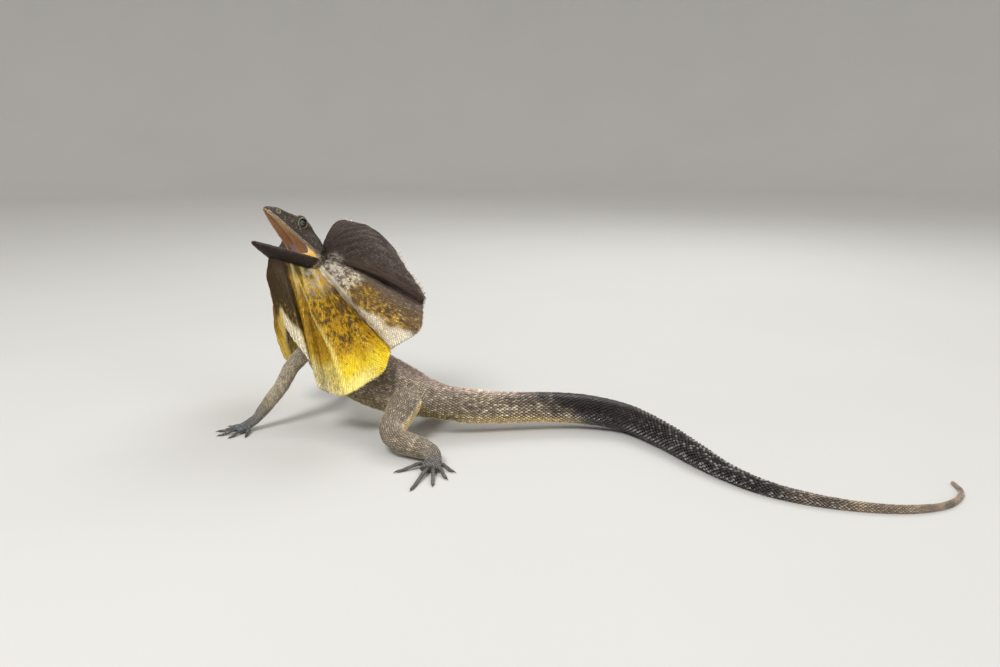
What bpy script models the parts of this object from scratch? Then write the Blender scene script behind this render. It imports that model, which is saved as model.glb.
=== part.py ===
# Frilled lizard, life size, standing with its mouth open and its frill half spread.
# Lengths below are millimetres; MM turns them into metres when a mesh is made.
# The head points toward -X, the tail toward +X, and the floor is z = 0.

import math

import bmesh
import bpy
import numpy as np

MM = 0.001
GAP = 0.3                        # clear space between neighbouring nodes
CLEAR = 0.36                     # how far a node is grown to cut its neighbours back
ORIGIN = (43.5, -1.9, 0.0)       # middle of the footprint, moved to x = y = 0


# Scene set-up

for old in list(bpy.data.objects):
    bpy.data.objects.remove(old, do_unlink=True)

lizard = bpy.data.collections.new("frilled_lizard")
cutters = bpy.data.collections.new("cutters")
bpy.context.scene.collection.children.link(lizard)
bpy.context.scene.collection.children.link(cutters)


def material(name, color, roughness):
    """A plain coloured surface."""
    mat = bpy.data.materials.new(name)
    mat.use_nodes = True
    shader = mat.node_tree.nodes["Principled BSDF"]
    shader.inputs["Base Color"].default_value = (*color, 1.0)
    shader.inputs["Roughness"].default_value = roughness
    shader.inputs["Metallic"].default_value = 0.0
    return mat


COLORS = {
    "body_skin": (0.20, 0.17, 0.12),
    "head_skin": (0.10, 0.08, 0.07),
    "frill_skin": (0.45, 0.28, 0.05),
    "frill_dark": (0.07, 0.05, 0.04),
    "limb_skin": (0.25, 0.23, 0.17),
    "tail_dark": (0.05, 0.045, 0.045),
    "mouth": (0.50, 0.22, 0.12),
    "eye": (0.30, 0.34, 0.36),
}
ROUGH = {"mouth": 0.4, "eye": 0.1}


# Curves and frames

def vec(*values):
    return np.array(values, dtype=float)


def unit(v):
    return v / max(np.linalg.norm(v), 1e-9)


def spline(rows, t):
    """Value at t of a smooth curve through rows, one row at each whole number."""
    rows = np.asarray(rows, dtype=float)
    last = len(rows) - 1
    i = int(min(max(math.floor(t), 0), last - 1))
    u = t - i
    p1, p2 = rows[i], rows[i + 1]
    p0 = rows[i - 1] if i > 0 else 2 * p1 - p2
    p3 = rows[i + 2] if i + 2 <= last else 2 * p2 - p1
    m1, m2 = (p2 - p0) / 2, (p3 - p1) / 2
    a = 2 * u ** 3 - 3 * u ** 2 + 1
    b = u ** 3 - 2 * u ** 2 + u
    c = -2 * u ** 3 + 3 * u ** 2
    d = u ** 3 - u ** 2
    return a * p1 + b * m1 + c * p2 + d * m2


def smoothstep(x):
    x = min(max(x, 0.0), 1.0)
    return x * x * (3 - 2 * x)


class Tube:
    """A body part swept along a curve: rows of x, y, z, half width, half height."""

    def __init__(self, rows, sides, belly=1.0):
        self.rows = [row[:5] for row in rows]
        self.sides = sides
        self.belly = belly
        self.last = len(rows) - 1

    def frame(self, t):
        """Centre, direction of travel, side, up, half width and half height at t."""
        row = spline(self.rows, t)
        step = 0.02
        a = spline(self.rows, min(max(t - step, 0), self.last))[:3]
        b = spline(self.rows, min(max(t + step, 0), self.last))[:3]
        along = unit(b - a)
        side = spline(self.sides, t)
        side = unit(side - along * np.dot(side, along))
        return row[:3], along, side, np.cross(along, side), row[3], row[4]

    def ring(self, t, count, slide=0.0):
        """Closed ring of points at t, moved along by slide."""
        centre, along, side, up, wide, high = self.frame(t)
        points = []
        for k in range(count):
            angle = 2 * math.pi * k / count
            c, s = math.cos(angle), math.sin(angle)
            tall = high if s > 0 else high * self.belly
            points.append(centre + side * c * wide + up * s * tall + along * slide)
        return points


def loft(rings, start=None, end=None):
    """Closed surface through rings of equal length, ends flat or drawn to a point."""
    count = len(rings[0])
    verts = [p for ring in rings for p in ring]
    faces = []
    for i in range(len(rings) - 1):
        for k in range(count):
            n = (k + 1) % count
            a, b = i * count + k, i * count + n
            c, d = a + count, b + count
            faces.append((a, c, d, b))
    for tip, base, flip in ((start, 0, False), (end, (len(rings) - 1) * count, True)):
        tip_index = len(verts)
        ring = verts[base:base + count]
        verts.append(np.mean(ring, axis=0) if tip is None else tip)
        for k in range(count):
            n = (k + 1) % count
            face = (base + k, base + n, tip_index)
            faces.append(face[::-1] if flip else face)
    return verts, faces


def build(name, verts, faces, slot, collection=lizard, floor=True):
    """A mesh object from points in millimetres, nothing of it below the floor."""
    mesh = bpy.data.meshes.new(name)
    points = []
    for p in verts:
        z = max(p[2], 0.0) if floor else p[2]
        points.append(((p[0] - ORIGIN[0]) * MM, (p[1] - ORIGIN[1]) * MM, z * MM))
    mesh.from_pydata(points, [], faces)
    bm = bmesh.new()
    bm.from_mesh(mesh)
    bmesh.ops.recalc_face_normals(bm, faces=bm.faces)
    bm.to_mesh(mesh)
    bm.free()
    for poly in mesh.polygons:
        poly.use_smooth = True
    obj = bpy.data.objects.new(name, mesh)
    if slot:
        mesh.materials.append(material(name + "_" + slot, COLORS[slot], ROUGH.get(slot, 0.7)))
    collection.objects.link(obj)
    return obj


def cutter(name, verts, faces):
    """A shape that is only used to cut or join others."""
    obj = build(name, verts, faces, None, cutters, floor=False)
    obj.hide_render = True
    obj.display_type = "WIRE"
    return obj


def grown(obj, amount):
    """A cutter of the same shape as obj, its surface moved outward by amount."""
    mesh = obj.data.copy()
    shape = bpy.data.objects.new(obj.name + "_grown", mesh)
    cutters.objects.link(shape)
    shape.hide_render = True
    shape.display_type = "WIRE"
    moved = [v.co + v.normal * amount * MM for v in mesh.vertices]
    for v, place in zip(mesh.vertices, moved):
        v.co = place
    return shape


def ball(centre, axes, radii, rings=8, count=14):
    """Ellipsoid with its own axes, as points and faces."""
    loops = []
    for i in range(1, rings):
        lat = math.pi * i / rings
        loop = []
        for k in range(count):
            lon = 2 * math.pi * k / count
            loop.append(centre + axes[0] * radii[0] * math.sin(lat) * math.cos(lon)
                        + axes[1] * radii[1] * math.sin(lat) * math.sin(lon)
                        + axes[2] * radii[2] * math.cos(lat))
        loops.append(loop)
    return loft(loops, centre + axes[2] * radii[2], centre - axes[2] * radii[2])


def apply_modifiers(obj):
    depsgraph = bpy.context.evaluated_depsgraph_get()
    mesh = bpy.data.meshes.new_from_object(obj.evaluated_get(depsgraph))
    obj.modifiers.clear()
    obj.data = mesh


def boolean(obj, tool, operation):
    """Cut obj by tool, or join tool to it; tool is an object or a collection."""
    mod = obj.modifiers.new(operation.lower(), "BOOLEAN")
    mod.operation = operation
    mod.solver = "EXACT"
    if isinstance(tool, bpy.types.Collection):
        mod.operand_type = "COLLECTION"
        mod.collection = tool
    else:
        mod.object = tool
    apply_modifiers(obj)


def keep_largest(obj):
    """Drop every loose crumb, leaving the one largest closed surface."""
    bm = bmesh.new()
    bm.from_mesh(obj.data)
    left = set(bm.verts)
    shells = []
    while left:
        stack = [left.pop()]
        shell = set(stack)
        while stack:
            for edge in stack.pop().link_edges:
                for vert in edge.verts:
                    if vert in left:
                        left.discard(vert)
                        shell.add(vert)
                        stack.append(vert)
        shells.append(shell)
    shells.sort(key=lambda s: max(v.co.x for v in s) - min(v.co.x for v in s) + len(s) * 1e-4)
    for shell in shells[:-1]:
        bmesh.ops.delete(bm, geom=list(shell), context="VERTS")
    bm.to_mesh(obj.data)
    bm.free()


def join_pieces(obj, pieces):
    """Fuse pieces onto obj, so that the node is one closed body."""
    group = bpy.data.collections.new(obj.name + "_pieces")
    cutters.children.link(group)
    for piece in pieces:
        cutters.objects.unlink(piece)
        group.objects.link(piece)
    boolean(obj, group, "UNION")
    keep_largest(obj)
    for piece in pieces:
        bpy.data.objects.remove(piece, do_unlink=True)
    bpy.data.collections.remove(group)


def cut_away(obj, tools):
    """Cut obj back from its neighbours."""
    for tool in tools:
        boolean(obj, tool, "DIFFERENCE")
    keep_largest(obj)


# Body axis from the tail tip to the back of the head

HEAD_FACING = 42.0                         # degrees from -X, turning toward -Y
HEAD_PITCH = 48.8
HEAD_ROLL = 6.9
HEAD_CENTRE = vec(-172.7, 67.8, 142.1)     # between the corners of the mouth

# x, y, z, half width, half height
SPINE = (
    (325, -113, 0.9, 1.1, 1.1),
    (323, -130, 1.15, 1.4, 1.4),
    (313, -145, 1.4, 1.7, 1.7),
    (297, -157, 1.75, 2.1, 2.1),
    (272, -163, 2.1, 2.5, 2.4),
    (242, -160, 2.5, 2.9, 2.8),
    (211, -149, 3.2, 3.7, 3.6),
    (185, -131, 4.1, 4.5, 4.4),
    (165, -105, 5.3, 5.6, 5.5),
    (150, -76, 7.1, 7.5, 7.4),
    (133, -39, 8.8, 8.9, 8.8),
    (107, -2, 12.3, 10.0, 9.9),
    (74, 11, 15.8, 11.3, 11.1),
    (43, 12, 17.6, 11.7, 11.4),
    (8, 8, 18.7, 12.4, 11.8),
    (-22, 4, 21.0, 14.2, 13.4),
    (-44, 1, 24.6, 15.8, 14.2),
    (-63, 4, 28.6, 19.0, 16.6),
    (-84, 13, 32.8, 23.0, 21.4),
    (-108, 27, 38.5, 25.0, 24.5),
    (-131, 40, 47.5, 24.5, 24.0),
    (-147, 49, 61.0, 21.5, 22.0),
    (-157, 56, 77.5, 18.0, 19.0),
    (-162, 64, 94.0, 16.0, 16.5),
    (-164, 70, 107.5, 15.5, 15.5),
    (-165, 73, 120.5, 15.5, 14.0),
    (-168.5, 71.0, 132.5, 16.0, 12.0),
    (-173.5, 66, 141.0, 15.0, 10.0),
)
NECK_FACING = (-20, 0, 20, 36, 42, 42)     # the left side turns as the neck bends
TAIL_CUTS = (0, 5.0, 9.0, 12.5, 15.5)      # where the tail is divided
NECK_CUT = 22.3


def left_side(angle):
    """Level unit vector to the left of a heading, given in degrees from -X toward -Y."""
    a = math.radians(angle)
    return vec(math.sin(a), -math.cos(a), 0)


def level_sides(rows):
    """Left side of each row of a path, level and square to the way it runs."""
    sides = []
    for i in range(len(rows)):
        a = np.array(rows[max(i - 1, 0)][:3], dtype=float)
        b = np.array(rows[min(i + 1, len(rows) - 1)][:3], dtype=float)
        sides.append(unit(np.cross(vec(0, 0, 1), b - a)))
    return sides


spine_sides = level_sides(SPINE)[:-len(NECK_FACING)]
spine_sides += [left_side(angle) for angle in NECK_FACING]
spine = Tube(SPINE, spine_sides, belly=0.96)


def tube_solid(name, tube, span, slot, steps, count, tip=None):
    """A length of a tube, its flat ends half a gap short of the dividing planes."""
    rings = []
    for i in range(steps + 1):
        t = span[0] + (span[1] - span[0]) * i / steps
        slide = GAP / 2 if i == 0 else -GAP / 2 if i == steps else 0.0
        rings.append(tube.ring(t, count, slide=slide))
    verts, faces = loft(rings, start=tip)
    return build(name, verts, faces, slot)


# Head, in its own axes: forward from the corners of the mouth, left, and up

def head_axes():
    a, p, r = (math.radians(v) for v in (HEAD_FACING, HEAD_PITCH, HEAD_ROLL))
    ahead = vec(-math.cos(a) * math.cos(p), -math.sin(a) * math.cos(p), math.sin(p))
    level = left_side(HEAD_FACING)
    upward = np.cross(ahead, level)
    left = level * math.cos(r) + upward * math.sin(r)
    up = upward * math.cos(r) - level * math.sin(r)
    return ahead, left, up


AHEAD, LEFT, UP = head_axes()
GAPE = 28.0                      # how far the lower jaw is open, degrees
HINGE = (-6.0, -2.0)             # forward and up of the jaw's hinge


def at_head(h, l, u):
    return HEAD_CENTRE + AHEAD * h + LEFT * l + UP * u


def at_jaw(h, l, u):
    """A point of the lower jaw, given as if the mouth were shut."""
    g = math.radians(GAPE)
    dh, du = h - HINGE[0], u - HINGE[1]
    return at_head(HINGE[0] + dh * math.cos(g) + du * math.sin(g), l,
                   HINGE[1] - dh * math.sin(g) + du * math.cos(g))


# forward, lip half width, cheek out, cheek up, brow out, brow up, top, palate height
HEAD_ROWS = (
    (-12.0, 16.0, 18.0, 4.0, 10.0, 10.5, 12.0, -5.0),
    (-6.0, 19.5, 20.8, 4.5, 11.0, 13.0, 14.0, -4.5),
    (0.0, 19.2, 18.8, 6.0, 11.0, 14.6, 15.3, -1.5),
    (8.0, 17.6, 16.4, 6.5, 11.2, 15.4, 16.0, 2.0),
    (16.0, 15.6, 14.4, 7.0, 11.6, 16.4, 16.4, 3.6),
    (24.0, 13.2, 12.2, 7.0, 11.0, 16.6, 16.8, 3.8),
    (32.0, 10.8, 9.8, 6.0, 8.2, 13.6, 14.2, 3.4),
    (40.0, 8.4, 7.4, 5.0, 5.8, 10.6, 11.4, 2.6),
    (47.0, 5.8, 5.2, 3.6, 4.0, 7.6, 8.4, 1.8),
    (52.0, 3.4, 3.0, 2.2, 2.2, 4.4, 5.0, 0.8),
    (54.4, 1.5, 1.4, 1.0, 0.9, 1.9, 2.3, 0.1),
)
LIP = 1.9                        # thickness of the lips

# forward, lip half width, depth below the lip line, floor of the mouth
JAW_ROWS = (
    (-11.0, 16.5, 12.5, -1.6),
    (-4.0, 19.0, 14.0, -2.2),
    (4.0, 18.4, 14.5, -4.4),
    (14.0, 16.0, 13.5, -5.4),
    (24.0, 13.0, 11.6, -4.8),
    (34.0, 9.6, 8.8, -3.8),
    (43.0, 6.0, 6.0, -2.8),
    (48.0, 3.4, 4.4, -2.2),
    (50.4, 1.6, 3.2, -1.7),
)


def mirrored(half):
    """Close a half ring that starts and ends on the middle line."""
    return half + [(-out, up) for out, up in half[-2:0:-1]]


def closed_spline(points, per_span):
    """Points of a smooth closed curve, a few for each span."""
    n = len(points)
    result = []
    for i in range(n):
        rows = [points[(i + k - 1) % n] for k in range(4)]
        for j in range(per_span):
            result.append(spline(rows, 1 + j / per_span))
    return result


def head_ring(t):
    h, lip, cheek, cheek_up, brow, brow_up, top, palate = spline(HEAD_ROWS, t)
    inner = max(lip - LIP, lip * 0.4)
    half = [
        (0.0, top),
        (brow * 0.55, top * 0.7 + brow_up * 0.3),
        (brow, brow_up),
        (brow * 0.45 + cheek * 0.55, brow_up * 0.5 + cheek_up * 0.5),
        (cheek, cheek_up),
        (lip, 1.0),
        (lip - 0.5, -0.9),
        (inner, min(-0.4, palate * 0.5)),
        (inner * 0.6, palate * 0.7 if palate > 0 else palate * 0.85),
        (0.0, palate),
    ]
    return h, closed_spline(mirrored(half), 2)


def jaw_ring(t):
    h, lip, depth, floor = spline(JAW_ROWS, t)
    inner = max(lip - LIP, lip * 0.4)
    half = [
        (0.0, floor),
        (inner * 0.55, floor * 0.92),
        (inner, floor * 0.4),
        (lip - 0.25 * (lip - inner), -0.8),
        (lip, -0.8 - depth * 0.14),
        (lip * 0.95, -depth * 0.55),
        (lip * 0.62, -depth * 0.9),
        (0.0, -depth),
    ]
    return h, closed_spline(mirrored(half), 2)


def head_mesh(place, ring, last, steps, tip):
    """Rings of the head or jaw from the back to the tip."""
    rings = []
    for i in range(steps + 1):
        h, points = ring(last * i / steps)
        rings.append([place(h, p[0], p[1]) for p in points])
    return loft(rings, end=place(tip[0], 0.0, tip[1]))


SNOUT_TIP = (55.2, 1.1)
CHIN_TIP = (51.2, -1.9)

head = build("head", *head_mesh(at_head, head_ring, len(HEAD_ROWS) - 1, 20, SNOUT_TIP),
             "head_skin")
head_grown = grown(head, CLEAR)
jaw = build("lower_jaw", *head_mesh(at_jaw, jaw_ring, len(JAW_ROWS) - 1, 13, CHIN_TIP),
            "head_skin")
jaw_grown = grown(jaw, CLEAR)

EYE_AT = (25.0, 9.9, 11.6)
EYE_RADIUS = 4.3
LID_RADIUS = 5.7
LID_OPENING = 3.5
EAR_AT = (-5.5, 20.9, 4.5)
EAR_RADIUS = 3.2
NOSTRIL_AT = (45.0, 5.3, 5.8)
NOSTRIL_RADIUS = 1.1
WEB_REACH = 14.0                 # how far forward of the corner the mouth's web runs
TONGUE_AT = (22.0, 0.0, -4.4)
TONGUE_SIZE = (17.0, 6.4, 2.8)

head_frame = (AHEAD, UP, LEFT)
for name, sign in (("left", 1), ("right", -1)):
    def side_point(at):
        return at_head(at[0], at[1] * sign, at[2])

    centre = side_point(EYE_AT)
    lids = cutter("lids", *ball(centre, head_frame, (LID_RADIUS,) * 3, 7, 14))
    join_pieces(head, [lids])
    socket = cutter("socket", *ball(centre, head_frame, (EYE_RADIUS + GAP,) * 3, 7, 14))
    opening = []
    for reach in (1.0, 12.0):
        ring = []
        for k in range(14):
            a = 2 * math.pi * (k + 0.4) / 14
            ring.append(centre + LEFT * sign * reach
                        + (AHEAD * math.cos(a) + UP * math.sin(a)) * LID_OPENING)
        opening.append(ring)
    window = cutter("lid_opening", *loft(opening))
    ear = cutter("ear", *ball(side_point(EAR_AT), head_frame, (EAR_RADIUS, EAR_RADIUS, 1.2), 6, 10))
    nostril = cutter("nostril", *ball(side_point(NOSTRIL_AT), head_frame,
                                      (NOSTRIL_RADIUS, NOSTRIL_RADIUS, 1.6), 6, 8))
    cut_away(head, [socket, window, ear, nostril])
    build("eye_" + name, *ball(centre, head_frame, (EYE_RADIUS,) * 3, 7, 14), "eye")


def mouth_web(sign):
    """Skin stretched between the lips at the corner of the mouth, hollow in front."""
    outline = []
    for reach, share in ((0.0, 0.5), (WEB_REACH, 0.0), (WEB_REACH * 0.55, 0.5),
                         (WEB_REACH, 1.0)):
        upper = at_head(reach, 0.0, -0.2)
        lower = at_jaw(reach, 0.0, -1.6)
        outline.append(upper * (1 - share) + lower * share)
    wide = 17.8 * sign
    narrow = 14.6 * sign
    rings = []
    for thick in (-0.6, 0.6):
        ring = []
        for k, p in enumerate(outline):
            ring.append(p + LEFT * ((wide if k == 0 else narrow) + thick))
        rings.append(ring)
    verts = rings[0] + rings[1]
    faces = [(0, 1, 2), (0, 2, 3), (4, 6, 5), (4, 7, 6)]
    for k in range(4):
        n = (k + 1) % 4
        faces.append((k, n, n + 4, k + 4))
    return cutter("mouth_web", verts, faces)


join_pieces(jaw, [mouth_web(1), mouth_web(-1)])
cut_away(jaw, [head_grown])

tongue_ahead = at_jaw(1, 0, 0) - at_jaw(0, 0, 0)
tongue_up = at_jaw(0, 0, 1) - at_jaw(0, 0, 0)
tongue = build("tongue", *ball(at_jaw(*TONGUE_AT), (LEFT, tongue_up, tongue_ahead),
                               (TONGUE_SIZE[1], TONGUE_SIZE[2], TONGUE_SIZE[0]), 8, 12), "mouth")
cut_away(tongue, [jaw_grown, head_grown])


# Trunk, neck and tail

tube_solid("tail_tip", spine, (TAIL_CUTS[0], TAIL_CUTS[1]), "tail_dark", 12, 10)
tube_solid("tail_rear", spine, (TAIL_CUTS[1], TAIL_CUTS[2]), "tail_dark", 9, 12)
tube_solid("tail_middle", spine, (TAIL_CUTS[2], TAIL_CUTS[3]), "tail_dark", 9, 14)
tube_solid("tail_base", spine, (TAIL_CUTS[3], TAIL_CUTS[4]), "body_skin", 7, 18)
torso = tube_solid("torso", spine, (TAIL_CUTS[4], NECK_CUT), "body_skin", 18, 22)
torso_grown = grown(torso, CLEAR)
neck = tube_solid("neck", spine, (NECK_CUT, 26.5), "body_skin", 10, 18)
neck_grown = grown(neck, CLEAR)
cut_away(neck, [jaw_grown, head_grown])


# Limbs

# x, y, z, half width, half height, tilt of the wide side
LEFT_ARM = (
    (-152, 46, 66, 9.0, 9.0, 0),
    (-165, 38, 62, 8.2, 7.6, 0),
    (-178, 29, 50, 6.9, 6.4, 0),
    (-187, 19, 34, 6.3, 5.8, 0),
    (-197, 12, 21, 5.9, 5.2, 0),
    (-206, 6, 10, 4.6, 3.8, 0),
    (-213, 2, 5.2, 5.6, 3.4, 0),
    (-220, -2, 2.4, 7.0, 2.9, 0),
)
RIGHT_ARM = (
    (-149, 60, 66, 9.0, 9.0, 0),
    (-148, 72, 62, 8.2, 7.6, 0),
    (-144, 83, 49, 6.9, 6.4, 0),
    (-141, 93, 33, 6.3, 5.8, 0),
    (-141, 104, 20, 5.9, 5.2, 0),
    (-141, 115, 10, 4.6, 3.8, 0),
    (-142, 122, 5.2, 5.6, 3.4, 0),
    (-143, 129, 2.4, 7.0, 2.9, 0),
)
LEFT_LEG = (
    (-70, 2, 29, 13.5, 11.5, 30),
    (-77, -10, 29, 14.0, 12.0, 30),
    (-81, -27, 24.5, 12.8, 10.8, 25),
    (-86, -43, 16.0, 9.6, 9.4, 15),
    (-79, -55, 12.2, 8.8, 8.6, 10),
    (-64, -63, 9.8, 8.4, 8.0, 0),
    (-53, -70, 7.8, 6.6, 6.2, 0),
    (-50, -80, 5.2, 6.0, 4.6, 0),
    (-52, -93, 2.8, 7.6, 3.3, 0),
)
RIGHT_LEG = (
    (-62, 8, 27, 13.5, 11.5, -30),
    (-59, 18, 26, 14.0, 12.0, -30),
    (-54, 34, 21, 12.4, 10.6, -25),
    (-47, 50, 15.6, 9.4, 9.2, -15),
    (-36, 59, 12.6, 8.6, 8.2, -10),
    (-19, 57, 9.8, 8.2, 7.8, 0),
    (-4, 54, 7.8, 6.2, 5.8, 0),
    (2, 62, 5.2, 6.0, 4.6, 0),
    (3, 75, 2.8, 7.6, 3.3, 0),
)

# turn from the way the hand points, start back along it and across it, length
HAND_DIGITS = (
    (62, 6.0, 5.5, 9.0),
    (30, 2.0, 4.0, 13.0),
    (4, 0.0, 1.0, 15.5),
    (-20, 0.5, -2.5, 15.0),
    (-52, 4.0, -5.5, 11.0),
)
FOOT_DIGITS = (
    (58, 9.0, 5.0, 11.0),
    (32, 4.0, 4.5, 17.0),
    (12, 1.0, 2.0, 26.0),
    (-6, 0.0, -1.5, 36.0),
    (-50, 10.0, -6.0, 22.0),
)


# share of a toe's length, height above the floor and radius, for each unit of thickness
TOE_SHAPE = (
    (0.0, 1.5, 1.0),
    (0.25, 2.1, 0.95),
    (0.5, 1.5, 0.85),
    (0.72, 0.7, 0.8),
    (0.86, 0.64, 0.75),
    (0.9, 1.25, 0.45),
    (1.0, 0.75, 0.22),
)


def limb(rows):
    """Tube of a limb, its wide side level but for the tilt of each row."""
    sides = []
    for side, row in zip(level_sides(rows), rows):
        t = math.radians(row[5])
        sides.append(side * math.cos(t) + vec(0, 0, 1) * math.sin(t))
    return Tube(rows, sides)


def digit(name, tube, row, sign, thick):
    """One toe: low arch from inside the palm, drawn out into a hooked claw."""
    turn, back, aside, length = row
    centre, along, side, up, wide, high = tube.frame(tube.last)
    along = unit(vec(along[0], along[1], 0))
    side = vec(along[1], -along[0], 0) * sign
    a = math.radians(turn)
    way = along * math.cos(a) + side * math.sin(a)
    start = centre - along * (back + 2.0) + side * aside
    path = []
    for reach, height, radius in TOE_SHAPE:
        spot = start + way * reach * (length + 4.0)
        path.append((spot[0], spot[1], height * thick, radius * thick, radius * thick))
    toe = Tube(path, level_sides(path))
    rings = [toe.ring(t, 6) for t in range(7)]
    end = start + way * (length + 5.2)
    verts, faces = loft(rings, end=vec(end[0], end[1], 0.25))
    verts = [vec(p[0], p[1], max(p[2], 0.0)) for p in verts]
    return cutter(name, verts, faces)


def make_limb(names, tube, cuts, digits, sign, thick, slot):
    """Upper length, lower length and the hand or foot with its toes."""
    upper = tube_solid(names[0], tube, (0, cuts[0]), slot, 8, 12)
    cut_away(upper, [torso_grown])
    tube_solid(names[1], tube, (cuts[0], cuts[1]), slot, 6, 12)
    end = tube_solid(names[2], tube, (cuts[1], tube.last), slot, 5, 12)
    pieces = []
    for i, row in enumerate(digits):
        pieces.append(digit(names[2] + "_digit_" + str(i), tube, row, sign, thick))
    join_pieces(end, pieces)
    return upper


left_arm, right_arm = limb(LEFT_ARM), limb(RIGHT_ARM)
left_leg, right_leg = limb(LEFT_LEG), limb(RIGHT_LEG)
make_limb(("left_upper_arm", "left_forearm", "left_hand"), left_arm, (3.0, 5.0),
          HAND_DIGITS, -1, 1.45, "limb_skin")
make_limb(("right_upper_arm", "right_forearm", "right_hand"), right_arm, (3.0, 5.0),
          HAND_DIGITS, 1, 1.45, "limb_skin")
make_limb(("left_thigh", "left_shin", "left_foot"), left_leg, (3.0, 6.0),
          FOOT_DIGITS, -1, 1.6, "limb_skin")
make_limb(("right_thigh", "right_shin", "right_foot"), right_leg, (3.0, 6.0),
          FOOT_DIGITS, 1, 1.6, "limb_skin")


# Frill: a pleated sheet on ribs that fan from the nape, round the jaw, to the chin

# Where the sheet is rooted on the left side, from the nape to the chin
ROOT_LINE = (
    at_head(-10, 5, 11),
    at_head(-11, 12, 8),
    at_head(-11.5, 16, 3),
    at_jaw(-10, 14.5, -7),
    at_jaw(-3, 15.5, -11),
    at_jaw(9, 12.5, -12),
    at_jaw(20, 8.5, -10.8),
    at_jaw(27, 5, -9.8),
    at_jaw(30.5, 0, -9.4),
)
# place on the root line, turn from +X toward +Y, rise, length, bow outward, bow upward
RIBS = (
    (0.0, 10, 50, 35, 0, 9),         # nape edge
    (0.25, -2, 25, 46, 2, 15),       # back of the hood
    (0.6, -18, 5, 68, 7, 23),        # crest of the hood
    (1.0, -28, -6, 89, 15, 22),      # face of the hood
    (1.4, -28, -15, 109, 20, 13),    # foot of the hood
    (1.8, -20, -20, 103, 0, 4),      # crease under the hood
    (2.1, -28, -22, 112, 9, 6),      # dark ridge
    (2.5, -36, -23, 123, 9, 4),      # speckled panel
    (2.9, -46, -27, 122, 8, 3),      # fold edge
    (3.2, -41, -34, 113, -3, 0),     # behind the fold
    (3.6, -49, -35, 128, 5, 1),      # top of the golden panel
    (3.9, -52, -44, 124, -2, 0),     # golden valley
    (4.4, -59, -50, 126, 7, 2),      # lowest tip
    (4.9, -59, -58, 118, 0, 0),      # pale valley
    (5.4, -63, -55, 116, 5, 0),      # pale ridge
    (5.9, -54, -62, 108, -1, 0),     # behind the pale ridge
    (6.5, -54, -60, 91, 4, 0),       # throat ridge
    (7.3, -50, -66.5, 77, 1, 0),     # throat panel
    (8.0, -44, -72, 66, -1, 0),       # throat line
)
OUTWARD = unit(vec(0.25, -0.97, 0.0))
FAR_MIRROR = 27.5                # the hidden half follows the neck as well as the head
FAR_DROP = 10.0                  # its hood stands a little lower
FAR_NAPE = 9.0                   # and lower still at the nape
SHEET = 1.2                      # thickness at the root
EDGE = 0.8                       # thickness at the margin
TOOTH = 3.4                      # how far the saw teeth of the margin stand out
PER_RIB = 4                      # columns between two ribs; every second one is a tooth
ROWS = (0.0, 0.1, 0.25, 0.43, 0.62, 0.81)      # how far out each row of the sheet lies


def near_point(rib, v, fullness=1.0):
    root_at, turn, rise, length, out, lift = rib
    root = spline(ROOT_LINE, root_at)
    a, b = math.radians(turn), math.radians(rise)
    way = vec(math.cos(a) * math.cos(b), math.sin(a) * math.cos(b), math.sin(b))
    bow = 4 * v * (1 - v)
    return root + way * length * v + (OUTWARD * out * fullness + vec(0, 0, lift)) * bow


def mirror(p, through, across):
    return p - 2 * across * np.dot(p - through, across)


def far_point(index, v):
    """Mirror image of a rib: hood about the head, the rest about the leaning throat line."""
    share = smoothstep(index / 13) * smoothstep(v * 2.5)
    p = near_point(RIBS[index], v, 1.0 - 0.7 * share)
    by_head = mirror(p, HEAD_CENTRE, LEFT)
    leaning = unit(LEFT * (1 - v) + left_side(FAR_MIRROR) * v)
    by_throat = mirror(p, near_point(RIBS[-1], v), leaning)
    nape = FAR_NAPE * smoothstep(1 - index / 2.5) * smoothstep(v * 3)
    drop = vec(0, 0, -FAR_DROP * v * (1 - share) - nape)
    return by_head * (1 - share) + by_throat * share + drop


def sheet_point(s, v):
    """Middle of the sheet: s counts ribs from the left nape round to the right one."""
    last = 2 * (len(RIBS) - 1)
    i = int(min(max(math.floor(s), 0), last - 1))
    rows = []
    for k in range(i - 1, i + 3):
        k = min(max(k, 0), last)
        rows.append(near_point(RIBS[k], v) if k < len(RIBS) else far_point(last - k, v))
    return spline(rows, 1 + s - i)


def frill_grid():
    """Middle of the sheet column by column, the last row cut into saw teeth."""
    grid = []
    for c in range(2 * (len(RIBS) - 1) * PER_RIB + 1):
        s = c / PER_RIB
        length = np.linalg.norm(sheet_point(s, 1.0) - sheet_point(s, 0.0))
        notch = TOOTH / length
        reach = ROWS + (1.0 - 1.5 * notch, 1.0 if c % 2 else 1.0 - notch)
        grid.append([sheet_point(s, v) for v in reach])
    grid = np.array(grid)
    normal = np.cross(np.gradient(grid, axis=0), np.gradient(grid, axis=1))
    normal[:, -1] = normal[:, -2]
    return grid, normal / np.linalg.norm(normal, axis=2, keepdims=True)


MIDDLE, NORMAL = frill_grid()


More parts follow.
